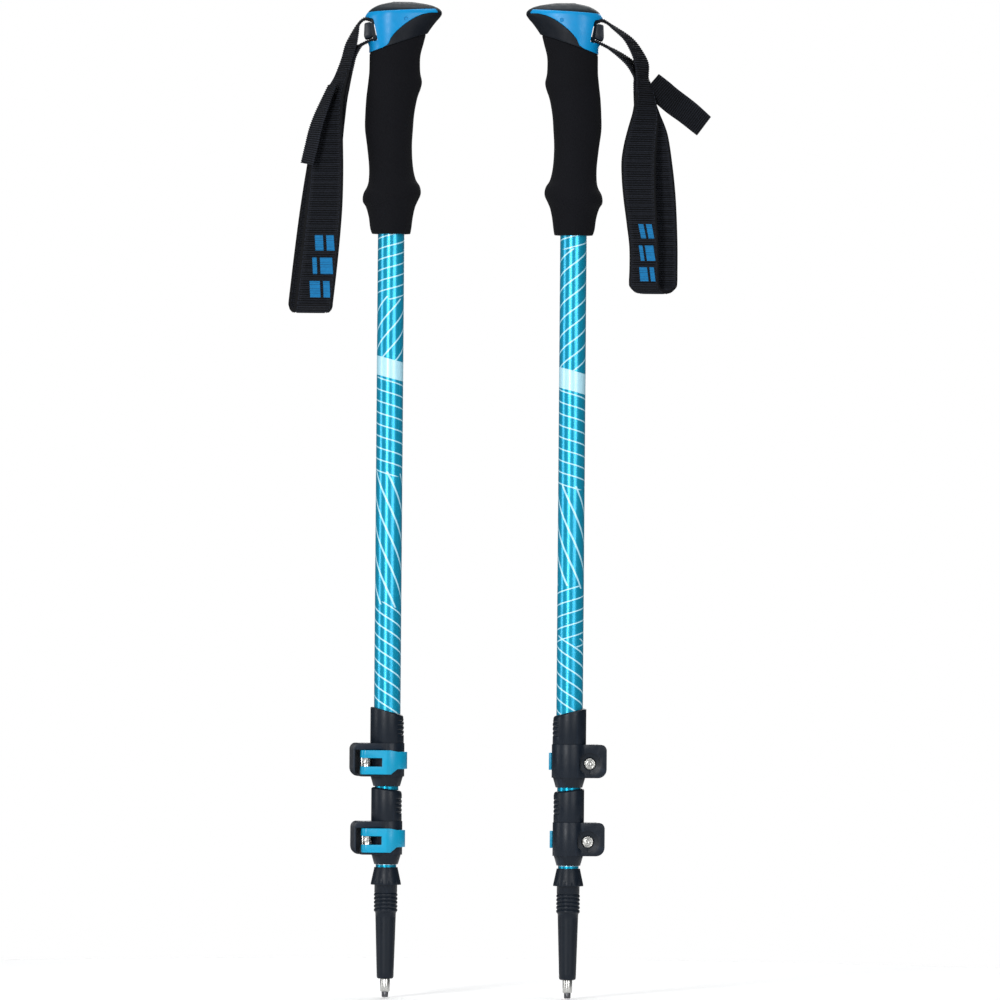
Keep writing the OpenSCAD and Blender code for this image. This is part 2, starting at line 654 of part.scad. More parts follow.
module strap_tail(hinge, rows) {
  fine = smoothed(rows, 3);
  color([0.07, 0.07, 0.08]) translate([hinge[0], 0, head_z + hinge[1]]) ribbon(
    [for (row = fine) [row[0], row[1], row[2]]],
    [for (row = fine) row[3]],
    [for (row = fine) webbing_w / 2],
    [for (row = fine) webbing_t / 2]);
}

// ---- Places ----

module right() { translate([pole_spacing, 0, 0]) rotate(180) children(); }

head_cap();  // head_cap_left
head_shell();  // head_shell_left
head_body();  // head_body_left
strap_pin();  // strap_pin_left
strap_wedge();  // strap_wedge_left
strap_anchor(HINGE_LEFT, LOOP_LEFT[1], UPPER_ARM_LEFT, LOWER_ARM_LEFT);  // strap_anchor_left
strap_loop(HINGE_LEFT, LOOP_LEFT);  // strap_loop_left
strap_tail(HINGE_LEFT, TAIL_LEFT);  // strap_tail_left
grip_foam();  // grip_foam_left
upper_tube();  // upper_tube_left
upper_collar();  // upper_collar_left
upper_clamp();  // upper_clamp_left
upper_saddle();  // upper_saddle_left
upper_barrel();  // upper_barrel_left
upper_lever();  // upper_lever_left
upper_screw();  // upper_screw_left
middle_guide();  // middle_guide_left
middle_tube();  // middle_tube_left
lower_collar();  // lower_collar_left
lower_clamp();  // lower_clamp_left
lower_saddle();  // lower_saddle_left
lower_barrel();  // lower_barrel_left
lower_lever();  // lower_lever_left
lower_screw();  // lower_screw_left
lower_guide();  // lower_guide_left
lower_tube();  // lower_tube_left
tip_sleeve();  // tip_sleeve_left
tip_ferrule();  // tip_ferrule_left
tip_insert();  // tip_insert_left
right() head_cap();  // head_cap_right
right() head_shell();  // head_shell_right
right() head_body();  // head_body_right
right() strap_pin();  // strap_pin_right
right() strap_wedge();  // strap_wedge_right
right() strap_anchor(HINGE_RIGHT, LOOP_RIGHT[1], UPPER_ARM_RIGHT, LOWER_ARM_RIGHT);  // strap_anchor_right
right() strap_loop(HINGE_RIGHT, LOOP_RIGHT);  // strap_loop_right
right() strap_tail(HINGE_RIGHT, TAIL_RIGHT);  // strap_tail_right
right() grip_foam();  // grip_foam_right
right() upper_tube();  // upper_tube_right
right() upper_collar();  // upper_collar_right
right() upper_clamp();  // upper_clamp_right
right() upper_saddle();  // upper_saddle_right
right() upper_barrel();  // upper_barrel_right
right() upper_lever();  // upper_lever_right
right() upper_screw();  // upper_screw_right
right() middle_guide();  // middle_guide_right
right() middle_tube();  // middle_tube_right
right() lower_collar();  // lower_collar_right
right() lower_clamp();  // lower_clamp_right
right() lower_saddle();  // lower_saddle_right
right() lower_barrel();  // lower_barrel_right
right() lower_lever();  // lower_lever_right
right() lower_screw();  // lower_screw_right
right() lower_guide();  // lower_guide_right
right() lower_tube();  // lower_tube_right
right() tip_sleeve();  // tip_sleeve_right
right() tip_ferrule();  // tip_ferrule_right
right() tip_insert();  // tip_insert_right
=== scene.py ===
"""A pair of three-section trekking poles with lever locks, foam grips and padded wrist straps."""

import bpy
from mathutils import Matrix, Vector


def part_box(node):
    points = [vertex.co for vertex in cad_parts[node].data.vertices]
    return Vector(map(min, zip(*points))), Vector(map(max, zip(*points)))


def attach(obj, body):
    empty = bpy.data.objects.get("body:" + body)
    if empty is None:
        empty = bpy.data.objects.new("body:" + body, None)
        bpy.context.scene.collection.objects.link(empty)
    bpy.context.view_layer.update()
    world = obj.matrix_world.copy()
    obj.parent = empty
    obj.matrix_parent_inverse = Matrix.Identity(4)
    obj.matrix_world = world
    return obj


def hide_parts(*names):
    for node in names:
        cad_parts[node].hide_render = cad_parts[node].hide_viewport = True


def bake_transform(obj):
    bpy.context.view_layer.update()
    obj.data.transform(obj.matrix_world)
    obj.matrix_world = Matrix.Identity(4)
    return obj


bl_info = {
    "name": "Trekking pole pair",
    "version": (1, 0, 0),
    "blender": (4, 5, 0),
    "location": "3D View > Sidebar > Poles",
    "description": "Builds the heads, grips, straps, tubes, locks and tips of a pair of trekking poles",
    "category": "Object",
}

import bisect
import math

import bmesh
import bpy
from mathutils import Matrix, Vector

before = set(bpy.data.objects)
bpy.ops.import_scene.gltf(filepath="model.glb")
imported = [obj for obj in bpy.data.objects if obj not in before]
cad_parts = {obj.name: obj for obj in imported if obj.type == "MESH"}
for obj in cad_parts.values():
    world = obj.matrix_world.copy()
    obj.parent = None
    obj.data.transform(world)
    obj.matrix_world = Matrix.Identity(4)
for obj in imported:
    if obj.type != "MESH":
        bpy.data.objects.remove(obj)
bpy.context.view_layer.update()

MM = 0.001
# Middle of the pair in metres, a reach in millimetres past the head, and columns round the head
MIDDLE_X = 0.0755
FAR = 40
HEAD_COUNT = 160
SIDES = ("left", "right")
HEAD_H = 28.0
WAIST_R = 13.7
TUBE_R = 9.0
FOAM_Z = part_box("grip_foam_left")[0].z / MM
HEAD_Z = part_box("head_cap_left")[1].z / MM - HEAD_H
FOAM_LEN = HEAD_Z - FOAM_Z

# Foam sections: share of the grip's length, then how far back, front and side stand out
FOAM_ROWS = (
    (0.00, -0.7, -0.7, -0.7), (0.03, 0.6, 0.0, 0.2), (0.09, 1.7, 1.0, 1.0), (0.14, 3.6, 2.4, 2.4),
    (0.17, 5.8, 4.0, 3.6), (0.21, 5.4, 6.2, 3.8), (0.25, 2.8, 5.6, 2.6), (0.29, 1.8, 2.6, 1.4),
    (0.36, 1.8, 0.7, 0.8), (0.46, 3.2, 0.0, 0.8), (0.55, 4.7, 0.6, 1.0), (0.63, 4.6, 1.4, 1.1),
    (0.71, 4.0, 3.3, 1.2), (0.765, 3.2, 5.7, 1.4), (0.80, 2.7, 6.4, 1.5), (0.85, 2.1, 5.2, 1.5),
    (0.93, 2.0, 5.2, 1.7), (1.00, 2.2, 7.4, 2.0), (1.06, 2.8, 9.4, 2.4))
# Head sections: height above the foam's end, then back, front and side from the tube's middle
HEAD_ROWS = (
    (-9, 16.0, 19.0, 15.6), (-3, 15.9, 20.3, 15.8), (1.5, 17.3, 22.0, 16.2), (6, 17.8, 23.5, 16.8),
    (10, 18.1, 26.0, 17.2), (14, 18.5, 29.0, 17.4), (17.5, 18.8, 32.0, 17.4), (20, 17.4, 33.4, 17.2),
    (22, 15.8, 32.9, 16.4), (24, 13.0, 30.6, 14.8), (26, 8.6, 25.4, 11.4), (27.6, 1.0, 16.0, 5.4),
    (28, -4.0, 12.0, 2.0))
# Lower edge of the blue shell in side view: distance from the tube's middle and height
SHELL_EDGE = (
    (-40, -12), (-15, -7), (-4, -2.2), (-1.3, 2.5), (1.8, 6.4), (5.8, 10.2), (11, 14.2),
    (16, 17.2), (22, 19.5), (30, 20.5), (60, 20.8))
SLOT_SIDE = ((-40, 0.7), (-10.0, 0.7), (-13.2, 16.4), (-40, 16.4))
# The strap block: its side view, and how far its cheeks draw in at shares of their height
WEDGE_SIDE = (
    (-19.2, 12.9), (-15.5, 13.8), (-12.8, 11.9), (-12.4, 8), (-12.8, 4.5), (-15.5, 2.9),
    (-18.6, 2.2), (-19.5, 4))
CHEEK_ROWS = (
    (0.0, 0.7), (0.02, 0.2), (0.06, 0.0), (0.3, 0.0), (0.6, 0.0), (0.94, 0.0), (0.98, 0.2), (1.0, 0.7))
STRAP_HALF = 10.0
WEB_HALF = 0.8
PAD_HALF = 1.25
BINDING_AT = 0.80
# Webbing rows in a pole's own frame: x, y, z above the foam's end, turn of the width about the
# vertical, half width and half thickness
WEB_IN = (
    (-6.4, 0, 8.0, 90, 10, 0.8), (-7.3, 0, 5.8, 90, 10, 0.8), (-9.5, 0, 4.9, 90, 10, 0.8),
    (-12, 0, 2.8, 90, 10, 0.8), (-15.5, 0, 1.4, 90, 10, 0.8))
# The way back in above the wedge block, as x, z and turn
WEB_OUT = ((-19.5, 16, 91), (-15.5, 15.4, 90), (-12, 13.2, 90), (-9.5, 11.1, 90), (-7.3, 10.2, 90))
# The hanging part from the hinge: x, z, turn, half the gap between the layers, half width, and how far
# apart the layers stand along the width
HANG_LEFT = (
    (-0.8, -2, 112, 1.05, 10, 0), (-5, -16, 118, 1.2, 10, 0), (-10.5, -31, 134, 2, 10.5, 0.5),
    (-14.5, -49, 160, 3.4, 11, 1.5), (-16.5, -76, 175, 5.2, 11.5, 3), (-19, -106, 180, 6.4, 12.5, 4),
    (-22.5, -141, 180, 6.4, 13, 4.5), (-25.5, -169, 180, 4.8, 13, 4.5))
HANG_RIGHT = (
    (-0.5, -2, 66, 1.05, 10, 0), (-2.6, -13, 52, 1.4, 10, -1.5), (-4.3, -27, 34, 2.2, 10.5, -5),
    (-5, -40, 18, 3.4, 11, -9.5), (-4.9, -59, 5, 5.2, 11.8, -12), (-7, -84, 0, 6.4, 11.2, -13.5),
    (-9.9, -117, 0, 6.4, 9.9, -13.3), (-9.9, -142, 0, 4.8, 10.3, -12.5))
# Each strap: its hinge, its two arms to the head as x, z and turn, its printed bars as two heights
# from the hinge and two shares of the half width, and its loose end from the hinge as x, y, z, turn
STRAPS = {
    "left": {
        "hinge": (-28.8, -7.8), "hang": HANG_LEFT,
        "upper_arm": ((-28.3, -1.3, 112), (-26, 5.7, 104), (-23.5, 12.2, 94)),
        "lower_arm": ((-19.5, -0.4, 92), (-24, -3.3, 103)),
        "marks": (
            (-134, -123, -0.72, -0.3), (-134, -123, -0.15, 0.3), (-150, -138, -0.76, -0.1),
            (-150, -138, 0.05, 0.3), (-166, -154, -0.76, -0.4), (-166, -154, -0.26, 0.3)),
        "tail_finish": "loose",
        "tail": (
            (-12, -3, -21, 105), (-16.2, -5, -31.7, 110), (-19.9, -6.5, -41.2, 114),
            (-23.2, -7.5, -51.4, 116), (-25.6, -8, -62.2, 117), (-28.7, -8, -75.2, 116)),
    },
    "right": {
        "hinge": (-44.5, -20), "hang": HANG_RIGHT,
        "upper_arm": ((-45.3, -12.5, 62), (-41.6, -3.9, 66), (-36.1, 4, 71), (-27.5, 10.8, 79)),
        "lower_arm": ((-20, -0.6, 88), (-26.7, -4.2, 78), (-34.3, -9.5, 70), (-39.8, -14.6, 66)),
        "marks": (
            (-112, -102, -0.7, -0.3), (-112, -102, -0.16, 0.2), (-127, -116, -0.72, -0.12),
            (-127, -116, 0.02, 0.3), (-141, -131, -0.72, -0.4), (-141, -131, -0.26, 0.3)),
        "tail_finish": "webbing",
        "tail": (
            (-7.5, -4, -5.5, 152), (-15, -4, -12, 158), (-22.5, -4, -18.2, 158),
            (-32.7, -3, -25.7, 155), (-43.6, -2, -34.8, 150)),
    },
}
# Printed pattern from the grip down: height where a zone starts and ends above the tip, pitch of
# its lines along the tube, turns the lines climb in one pitch count, and line half width
PRINT = {
    "left": {
        "band": (420.9, 433.9), "slant": 2.4,
        "zones": (
            (474.0, 520.0, 7.3, 2, 0.42), (433.0, 476.0, 12.6, 5, 0.50), (355.0, 421.0, 7.9, -2, 0.42),
            (266.0, 357.0, 19.7, -6, 0.62), (190.0, 268.0, 8.6, -4, 0.48))},
    "right": {
        "band": (413.0, 427.0), "slant": 2.4,
        "zones": (
            (508.0, 520.0, 7.3, 2, 0.42), (427.0, 510.0, 10.4, 4, 0.48), (347.0, 414.0, 7.9, -2, 0.42),
            (280.0, 349.0, 19.7, -6, 0.62), (240.0, 282.0, 8.2, 2, 0.42), (190.0, 246.0, 8.6, -4, 0.48))},
}


# ---- Sizes and colours that a user may change ----

class POLES_PG_sizes(bpy.types.PropertyGroup):
    """Sizes of the finer details."""
    rib_pitch: bpy.props.FloatProperty(
        name="Webbing rib pitch", description="Distance from one rib of the webbing to the next",
        default=1.5 * MM, min=0.8 * MM, max=4 * MM, unit="LENGTH")
    rib_depth: bpy.props.FloatProperty(
        name="Webbing rib depth", description="How far the ribs of the webbing stand out",
        default=0.34 * MM, min=0.0, max=0.5 * MM, unit="LENGTH")
    stitch_len: bpy.props.FloatProperty(
        name="Stitch length", description="Length of one stitch along the bindings",
        default=2.2 * MM, min=1 * MM, max=5 * MM, unit="LENGTH")
    edge_round: bpy.props.FloatProperty(
        name="Edge rounding", description="Radius of the edges of the moulded parts",
        default=0.35 * MM, min=0.05 * MM, max=1 * MM, unit="LENGTH")
    light_strength: bpy.props.FloatProperty(
        name="Light strength", description="Strength of the studio lights as a share of the usual",
        default=1.0, min=0.1, max=4.0)


def colour_property(name, description, default):
    return bpy.props.FloatVectorProperty(
        name=name, description=description, subtype="COLOR", size=3, min=0.0, max=1.0, default=default)


class POLES_PG_colours(bpy.types.PropertyGroup):
    """Colours of the finishes."""
    shell: colour_property("Head shell", "Blue of the moulded head shell", (0.0005, 0.23, 0.52))
    lever: colour_property("Lever", "Blue of the lock levers", (0.0008, 0.24, 0.41))
    tube: colour_property("Tube", "Base colour of the printed tubes", (0.002, 0.31, 0.50))
    line: colour_property("Print", "Pale colour of the printed lines and band", (0.42, 0.72, 0.84))
    motif: colour_property("Strap print", "Blue of the bars printed on the straps", (0.008, 0.16, 0.38))
    plastic: colour_property("Moulded plastic", "Near black of locks and tips", (0.0035, 0.0068, 0.0125))
    body: colour_property("Head body", "Dark grey of the head under the shell", (0.0045, 0.0065, 0.0105))
    rubber: colour_property("Cap", "Black of the soft cap on the head", (0.004, 0.010, 0.015))
    foam: colour_property("Foam", "Black of the foam grips", (0.0026, 0.0028, 0.0042))
    webbing: colour_property("Webbing", "Black of the webbing", (0.0030, 0.0036, 0.0055))
    steel: colour_property("Steel", "Bright steel of screws, barrels and ferrules", (0.56, 0.56, 0.54))


# ---- Materials ----

class Finish:
    """One material and the nodes that feed its shader."""

    def __init__(self, name):
        self.material = bpy.data.materials.new(name)
        self.material.use_nodes = True
        self.tree = self.material.node_tree
        self.shader = self.tree.nodes["Principled BSDF"]

    def node(self, kind, **settings):
        made = self.tree.nodes.new("ShaderNode" + kind)
        for key, value in settings.items():
            setattr(made, key, value)
        return made

    def feed(self, socket, value):
        if isinstance(value, bpy.types.NodeSocket):
            self.tree.links.new(value, socket)
        else:
            socket.default_value = value

    def math(self, operation, *values):
        made = self.node("Math", operation=operation)
        for socket, value in zip(made.inputs, values):
            self.feed(socket, value)
        return made.outputs[0]

    def place(self, origin=(0, 0, 0)):
        """Coordinates in metres on the piece, from that point."""
        mapping = self.node("Mapping", vector_type="POINT")
        mapping.inputs["Location"].default_value = [-v for v in origin]
        self.tree.links.new(self.node("TexCoord").outputs["Object"], mapping.inputs[0])
        return mapping.outputs[0]

    def noise(self, scale, detail=3.0, stretch=(1, 1, 1)):
        mapping = self.node("Mapping", vector_type="POINT")
        mapping.inputs["Scale"].default_value = stretch
        self.tree.links.new(self.node("TexCoord").outputs["Object"], mapping.inputs[0])
        made = self.node("TexNoise")
        made.inputs["Scale"].default_value = scale
        made.inputs["Detail"].default_value = detail
        self.tree.links.new(mapping.outputs[0], made.inputs["Vector"])
        return made.outputs[0]

    def cells(self, scale):
        made = self.node("TexVoronoi")
        made.inputs["Scale"].default_value = scale
        self.tree.links.new(self.node("TexCoord").outputs["Object"], made.inputs["Vector"])
        return made.outputs["Distance"]

    def between(self, value, low, high, out_low, out_high):
        made = self.node("MapRange")
        for socket, entry in zip(made.inputs, (value, low, high, out_low, out_high)):
            self.feed(socket, entry)
        return made.outputs[0]

    def blend(self, share, first, second):
        made = self.node("Mix", data_type="RGBA")
        self.feed(made.inputs[0], share)
        for socket, colour in ((made.inputs[6], first), (made.inputs[7], second)):
            self.feed(socket, colour if isinstance(colour, bpy.types.NodeSocket) else (*colour, 1))
        return made.outputs[2]

    def painted_edge_highlight(self):
        """Share of painted edge highlight, highest along edges that stick out."""
        return self.between(self.node("NewGeometry").outputs["Pointiness"], 0.52, 0.60, 0.0, 1.0)

    def bump(self, height, distance, strength=1.0):
        made = self.node("Bump")
        made.inputs["Strength"].default_value = strength
        made.inputs["Distance"].default_value = distance
        self.tree.links.new(height, made.inputs["Height"])
        self.tree.links.new(made.outputs[0], self.shader.inputs["Normal"])

    def set(self, **values):
        for key, value in values.items():
            self.feed(self.shader.inputs[key.replace("_", " ")], value)


def shade(colour, factor):
    return tuple(min(1.0, c * factor) for c in colour)


def moulded_finish(name, colour, rough, grain=900.0, depth=0.00003, edge_highlight_lift=1.8, **uniform):
    """Moulded plastic or rubber: fine grain, uneven gloss and edges painted paler as a highlight."""
    made = Finish(name)
    cloud = made.noise(60.0)
    tone = made.blend(cloud, shade(colour, 0.82), shade(colour, 1.18))
    # Edges that stick out are painted paler, up to that many times the colour: a painted highlight along
    # the rims.
    made.set(Base_Color=made.blend(made.math("MULTIPLY", made.painted_edge_highlight(), 0.6), tone, shade(colour, edge_highlight_lift)),
             Roughness=made.between(made.noise(250.0, 4.0), 0.3, 0.7, rough - 0.06, rough + 0.07),
             **uniform)
    made.bump(made.noise(grain, 2.0), depth)
    return made.material


def steel_finish(name, colour, rough):
    made = Finish(name)
    streaks = made.noise(700.0, 3.0, (1, 1, 6))
    made.set(Base_Color=made.blend(made.noise(120.0), shade(colour, 0.8), colour), Metallic=1.0,
             Roughness=made.between(streaks, 0.3, 0.7, rough - 0.05, rough + 0.10))
    made.bump(streaks, 0.000003, 0.5)
    return made.material


def foam_finish(name, colour):
    made = Finish(name)
    pores = made.cells(1500.0)
    made.set(Base_Color=made.blend(made.noise(35.0), shade(colour, 0.8), shade(colour, 1.5)),
             Roughness=made.between(pores, 0.0, 0.6, 0.95, 0.82), Specular_IOR_Level=0.12,
             Sheen_Weight=0.02, Sheen_Roughness=0.5)
    made.bump(made.math("ADD", pores, made.noise(420.0, 4.0)), 0.00012, 0.7)
    return made.material


def webbing_finish(name, colour, lift):
    """Woven webbing: fine twill that crosses the ribs, with lint and sheen."""
    made = Finish(name)
    twill = made.noise(1800.0, 2.0, (1, 1, 0.35))
    threads = made.noise(420.0, 5.0, (1, 1, 2.5))
    made.set(Base_Color=made.blend(threads, shade(colour, 0.7), shade(colour, lift)),
             Roughness=made.between(twill, 0.3, 0.7, 0.72, 0.9), Specular_IOR_Level=0.18,
             Sheen_Weight=0.02, Sheen_Roughness=0.4)
    made.bump(twill, 0.00012, 0.8)
    return made.material


def printed_finish(name, side, colours):
    """Anodised tube with a printed net of pale lines and one plain pale band."""
    made = Finish(name)
    axis = place(side).translation
    separate = made.node("SeparateXYZ")
    made.tree.links.new(made.place((axis.x, 0, 0)), separate.inputs[0])
    x, y, z = separate.outputs
    turn = made.math("ARCTAN2", x, made.math("MULTIPLY", y, -1.0))
    height = made.math("MULTIPLY", z, 1 / MM)
    wobble = made.math("MULTIPLY", made.math("SINE", made.math("MULTIPLY", turn, 2.0)), 1.2)
    total = None
    for low, high, pitch, climb, half in PRINT[side]["zones"]:
        rise = climb * pitch / (2 * math.pi)
        straight = made.math("SUBTRACT", height, made.math("MULTIPLY", turn, rise))
        phase = made.math("DIVIDE", straight, pitch)
        off = made.math("ABSOLUTE", made.math("SUBTRACT", made.math("FRACT", phase), 0.5))
        slope = math.hypot(1.0, rise / TUBE_R)
        share = half * slope / pitch
        line = made.between(off, 0.5 - share * 1.25, 0.5 - share * 0.75, 0.0, 1.0)
        edge = made.math("ADD", height, wobble)
        past, before = made.math("GREATER_THAN", edge, low), made.math("LESS_THAN", edge, high)
        inside = made.math("MULTIPLY", past, before)
        part = made.math("MULTIPLY", line, inside)
        total = part if total is None else made.math("MAXIMUM", total, part)
    tilt = made.math("MULTIPLY", made.math("SINE", turn), PRINT[side]["slant"])
    level = made.math("ADD", height, tilt)
    low, high = PRINT[side]["band"]
    past, before = made.math("GREATER_THAN", level, low), made.math("LESS_THAN", level, high)
    band = made.math("MULTIPLY", past, before)
    pale = made.math("MAXIMUM", total, band)
    base = made.blend(made.noise(25.0), shade(colours.tube, 0.9), shade(colours.tube, 1.1))
    made.set(Base_Color=made.blend(pale, base, colours.line),
             Metallic=made.between(pale, 0.0, 1.0, 0.45, 0.05),
             Roughness=made.between(made.noise(600.0, 3.0, (1, 1, 0.1)), 0.3, 0.7, 0.24, 0.32),
             Coat_Weight=0.12, Coat_Roughness=0.1)
    made.bump(made.math("ADD", pale, made.math("MULTIPLY", made.noise(900.0), 0.1)), 0.00002, 0.5)
    return made.material


def anodised_finish(name, colour):
    """Plain anodised tube with faint drawing lines along it and pale length marks."""
    made = Finish(name)
    separate = made.node("SeparateXYZ")
    made.tree.links.new(made.place(), separate.inputs[0])
    streaks = made.noise(500.0, 3.0, (1, 1, 0.04))
    centimetres = made.math("FRACT", made.math("MULTIPLY", separate.outputs[2], 100.0))
    mark = made.math("LESS_THAN", centimetres, 0.06)
    base = made.blend(streaks, shade(colour, 0.85), shade(colour, 1.1))
    made.set(Base_Color=made.blend(made.math("MULTIPLY", mark, 0.8), base, (0.6, 0.8, 0.9)),
             Metallic=0.75, Roughness=made.between(streaks, 0.3, 0.7, 0.22, 0.32))
    made.bump(streaks, 0.00001)
    return made.material


FINISHES = {}


def make_finishes(colours):
    FINISHES.update({
        "cap": moulded_finish("soft cap rubber", colours.rubber, 0.55, 1400.0, 0.00002, 1.4,
                              Specular_IOR_Level=0.16),
        "shell": moulded_finish("head shell plastic", colours.shell, 0.36, 700.0, 0.000004, 1.2,
                                Specular_IOR_Level=0.28),
        "body": moulded_finish("head body plastic", colours.body, 0.5, Specular_IOR_Level=0.18),
        "plastic": moulded_finish("lock plastic", colours.plastic, 0.4, 1100.0, 0.00001, 2.2,
                                  Specular_IOR_Level=0.22),
        "tip": moulded_finish("tip plastic", colours.plastic, 0.4, 900.0, 0.00001, 2.0,
                              Specular_IOR_Level=0.2),
        "lever": moulded_finish("lever plastic", colours.lever, 0.34, 900.0, 0.000006, 1.3,
                                Specular_IOR_Level=0.28),
        "guide": moulded_finish("guide bush plastic", (0.6, 0.6, 0.57), 0.45),
        "foam": foam_finish("grip foam", colours.foam),
        # Strap webbing is a lit copy at twice the webbing colour, painted light on the rib crests; the
        # trough copy at about a third of it is painted shade between the ribs.
        "webbing": webbing_finish("strap webbing", shade(colours.webbing, 2.0), 2.2),
        "rib_shadow": webbing_finish("painted rib shadow", shade(colours.webbing, 0.35), 1.2),
        "binding": webbing_finish("strap binding", shade(colours.webbing, 0.7), 1.3),
        "loose": webbing_finish("loose end webbing", shade(colours.webbing, 2.6), 2.2),
        "motif": webbing_finish("strap print", colours.motif, 1.15),
        "thread": webbing_finish("stitching thread", shade(colours.webbing, 4.0), 1.4),
        "steel": steel_finish("bright steel", colours.steel, 0.26),
        "carbide": steel_finish("dark carbide", (0.12, 0.12, 0.13), 0.35),
        "tube": anodised_finish("anodised tube", colours.tube),
    })
    for side in SIDES:
        FINISHES["print_" + side] = printed_finish("printed tube " + side, side, colours)


# ---- Mesh helpers; every piece is built in millimetres in its pole's own frame ----

def place(side):
    """Carries a pole's own frame into the frame of the pair."""
    low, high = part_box("upper_tube_" + side)
    turn = Matrix.Rotation(math.pi, 4, "Z") if side == "right" else Matrix.Identity(4)
    return Matrix.Translation(((low.x + high.x) / 2, 0, 0)) @ turn


def curve(a, b, c, d, t):
    return tuple(0.5 * (2 * q + (r - p) * t + (2 * p - 5 * q + 4 * r - s) * t * t
                        + (3 * q - p - 3 * r + s) * t ** 3) for p, q, r, s in zip(a, b, c, d))


def smoothed(rows, steps):
    """Rows with a smooth curve through them, that many steps between each two."""
    last = len(rows) - 1
    out = [curve(rows[max(i - 1, 0)], rows[i], rows[i + 1], rows[min(i + 2, last)], k / steps)
           for i in range(last) for k in range(steps)]
    return out + [tuple(rows[last])]


def add_rings(bm, rings, around=True, closed=False):
    """Quads between rows of points; around joins each row's ends, closed the last row to the first."""
    grid = [[bm.verts.new(p) for p in ring] for ring in rings]
    for r in range(len(grid) - (0 if closed else 1)):
        here, above = grid[r], grid[(r + 1) % len(grid)]
        for i in range(len(here) - (0 if around else 1)):
            j = (i + 1) % len(here)
            bm.faces.new((here[i], here[j], above[j], above[i]))
    return grid


def outward(bm):
    """Turns the faces of a closed bmesh so that they look out."""
    bmesh.ops.recalc_face_normals(bm, faces=bm.faces)
    if bm.calc_volume(signed=True) < 0:
        bmesh.ops.reverse_faces(bm, faces=bm.faces)


def make_piece(name, bm, side, material, body=None, replaced=(), angle=35.0):
    """Turns a finished bmesh into a piece of the pair."""
    bmesh.ops.remove_doubles(bm, verts=bm.verts, dist=0.001)
    outward(bm)
    mesh = bpy.data.meshes.new(name)
    bm.to_mesh(mesh)
    bm.free()
    mesh.transform(place(side) @ Matrix.Scale(MM, 4))
    return link_piece(name, mesh, material, body, replaced, angle)


def link_piece(name, mesh, material, body=None, replaced=(), angle=35.0):
    if mesh.materials:
        mesh.materials.clear()
    for key in (material if isinstance(material, tuple) else (material,)):
        mesh.materials.append(FINISHES[key])
    mesh.shade_smooth()
    mesh.set_sharp_from_angle(angle=math.radians(angle))
    piece = bpy.data.objects.new(name, mesh)
    bpy.context.scene.collection.objects.link(piece)
    if replaced:
        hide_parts(*replaced)
    if body:
        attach(piece, body)
    return piece


def cut_away(bm, cutters):
    """The bmesh with the cutter bmeshes taken away from it."""
    work = []
    for source in [bm] + cutters:
        outward(source)
        mesh = bpy.data.meshes.new("work")
        source.to_mesh(mesh)
        source.free()
        thing = bpy.data.objects.new("work", mesh)
        bpy.context.scene.collection.objects.link(thing)
        work.append(thing)
    for cutter in work[1:]:
        modifier = work[0].modifiers.new("cut", "BOOLEAN")
        modifier.operation = "DIFFERENCE"
        modifier.solver = "MANIFOLD"
        modifier.object = cutter
    depsgraph = bpy.context.evaluated_depsgraph_get()
    mesh = bpy.data.meshes.new_from_object(work[0].evaluated_get(depsgraph))
    out = bmesh.new()
    out.from_mesh(mesh)
    for thing in work:
        data = thing.data
        bpy.data.objects.remove(thing)
        bpy.data.meshes.remove(data)
    bpy.data.meshes.remove(mesh)
    return out


def prism(outline, low_y, high_y):
    """A cutter with that outline in side view, from one y to the other."""
    bm = bmesh.new()
    rings = [[(x, y, z) for x, z in outline] for y in (low_y, high_y)]
    grid = add_rings(bm, rings)
    bm.faces.new(grid[0])
    bm.faces.new(list(reversed(grid[1])))
    return bm


def rounded_outline(points, radius, steps=5):
    """The closed outline with its corners rounded."""
    out = []
    for i, point in enumerate(points):
        here = Vector(point)
        before = (Vector(points[i - 1]) - here)
        after = (Vector(points[(i + 1) % len(points)]) - here)
        reach = min(radius, before.length / 2.2, after.length / 2.2)
        a, b = here + before.normalized() * reach, here + after.normalized() * reach
        for k in range(steps + 1):
            t = k / steps
            out.append(tuple(a * (1 - t) ** 2 + here * 2 * t * (1 - t) + b * t * t))
    return out


# ---- Head and grip ----

class EggForm:
    """A form with egg-shaped sections; a share runs from its first row to its last."""

    def __init__(self, rows, steps=10):
        self.rows = smoothed(rows, steps)
        self.last = len(self.rows) - 1

    def point(self, share, angle, inward=0.0):
        at = max(0.0, min(share, 1.0)) * self.last
        i = min(int(at), self.last - 1)
        z, back, front, side = (a + (b - a) * (at - i) for a, b in zip(self.rows[i], self.rows[i + 1]))
        reach = front if math.cos(angle) > 0 else back
        return (math.cos(angle) * (reach - inward), math.sin(angle) * (side - inward), z)

    def share_at(self, angle, height):
        """Share where the surface at this angle crosses the line height(x)."""
        low, high = 0.0, 1.0
        for _ in range(40):
            middle = (low + high) / 2
            x, _y, z = self.point(middle, angle)
            if z < height(x):
                low = middle
            else:
                high = middle
        return low


def lookup(points):
    """Height along a polyline of (x, z) points, as a function of x."""
    xs = [p[0] for p in points]

    def height(x):
        i = max(1, min(bisect.bisect_right(xs, x), len(xs) - 1))
        (x0, z0), (x1, z1) = points[i - 1], points[i]
        return z0 + (z1 - z0) * max(0.0, min(1.0, (x - x0) / (x1 - x0)))
    return height


def foam_top(x):
    return -1.6 + 0.3385 * x


def cap_edge(x):
    """Lower edge of the cap; in front of the shell's end it drops to meet the body."""
    line = HEAD_H - 6.3 + 0.0594 * x
    drop = max(0.0, min(1.0, (x - 29.6) / 1.2))
    return line + (20.6 - line) * drop


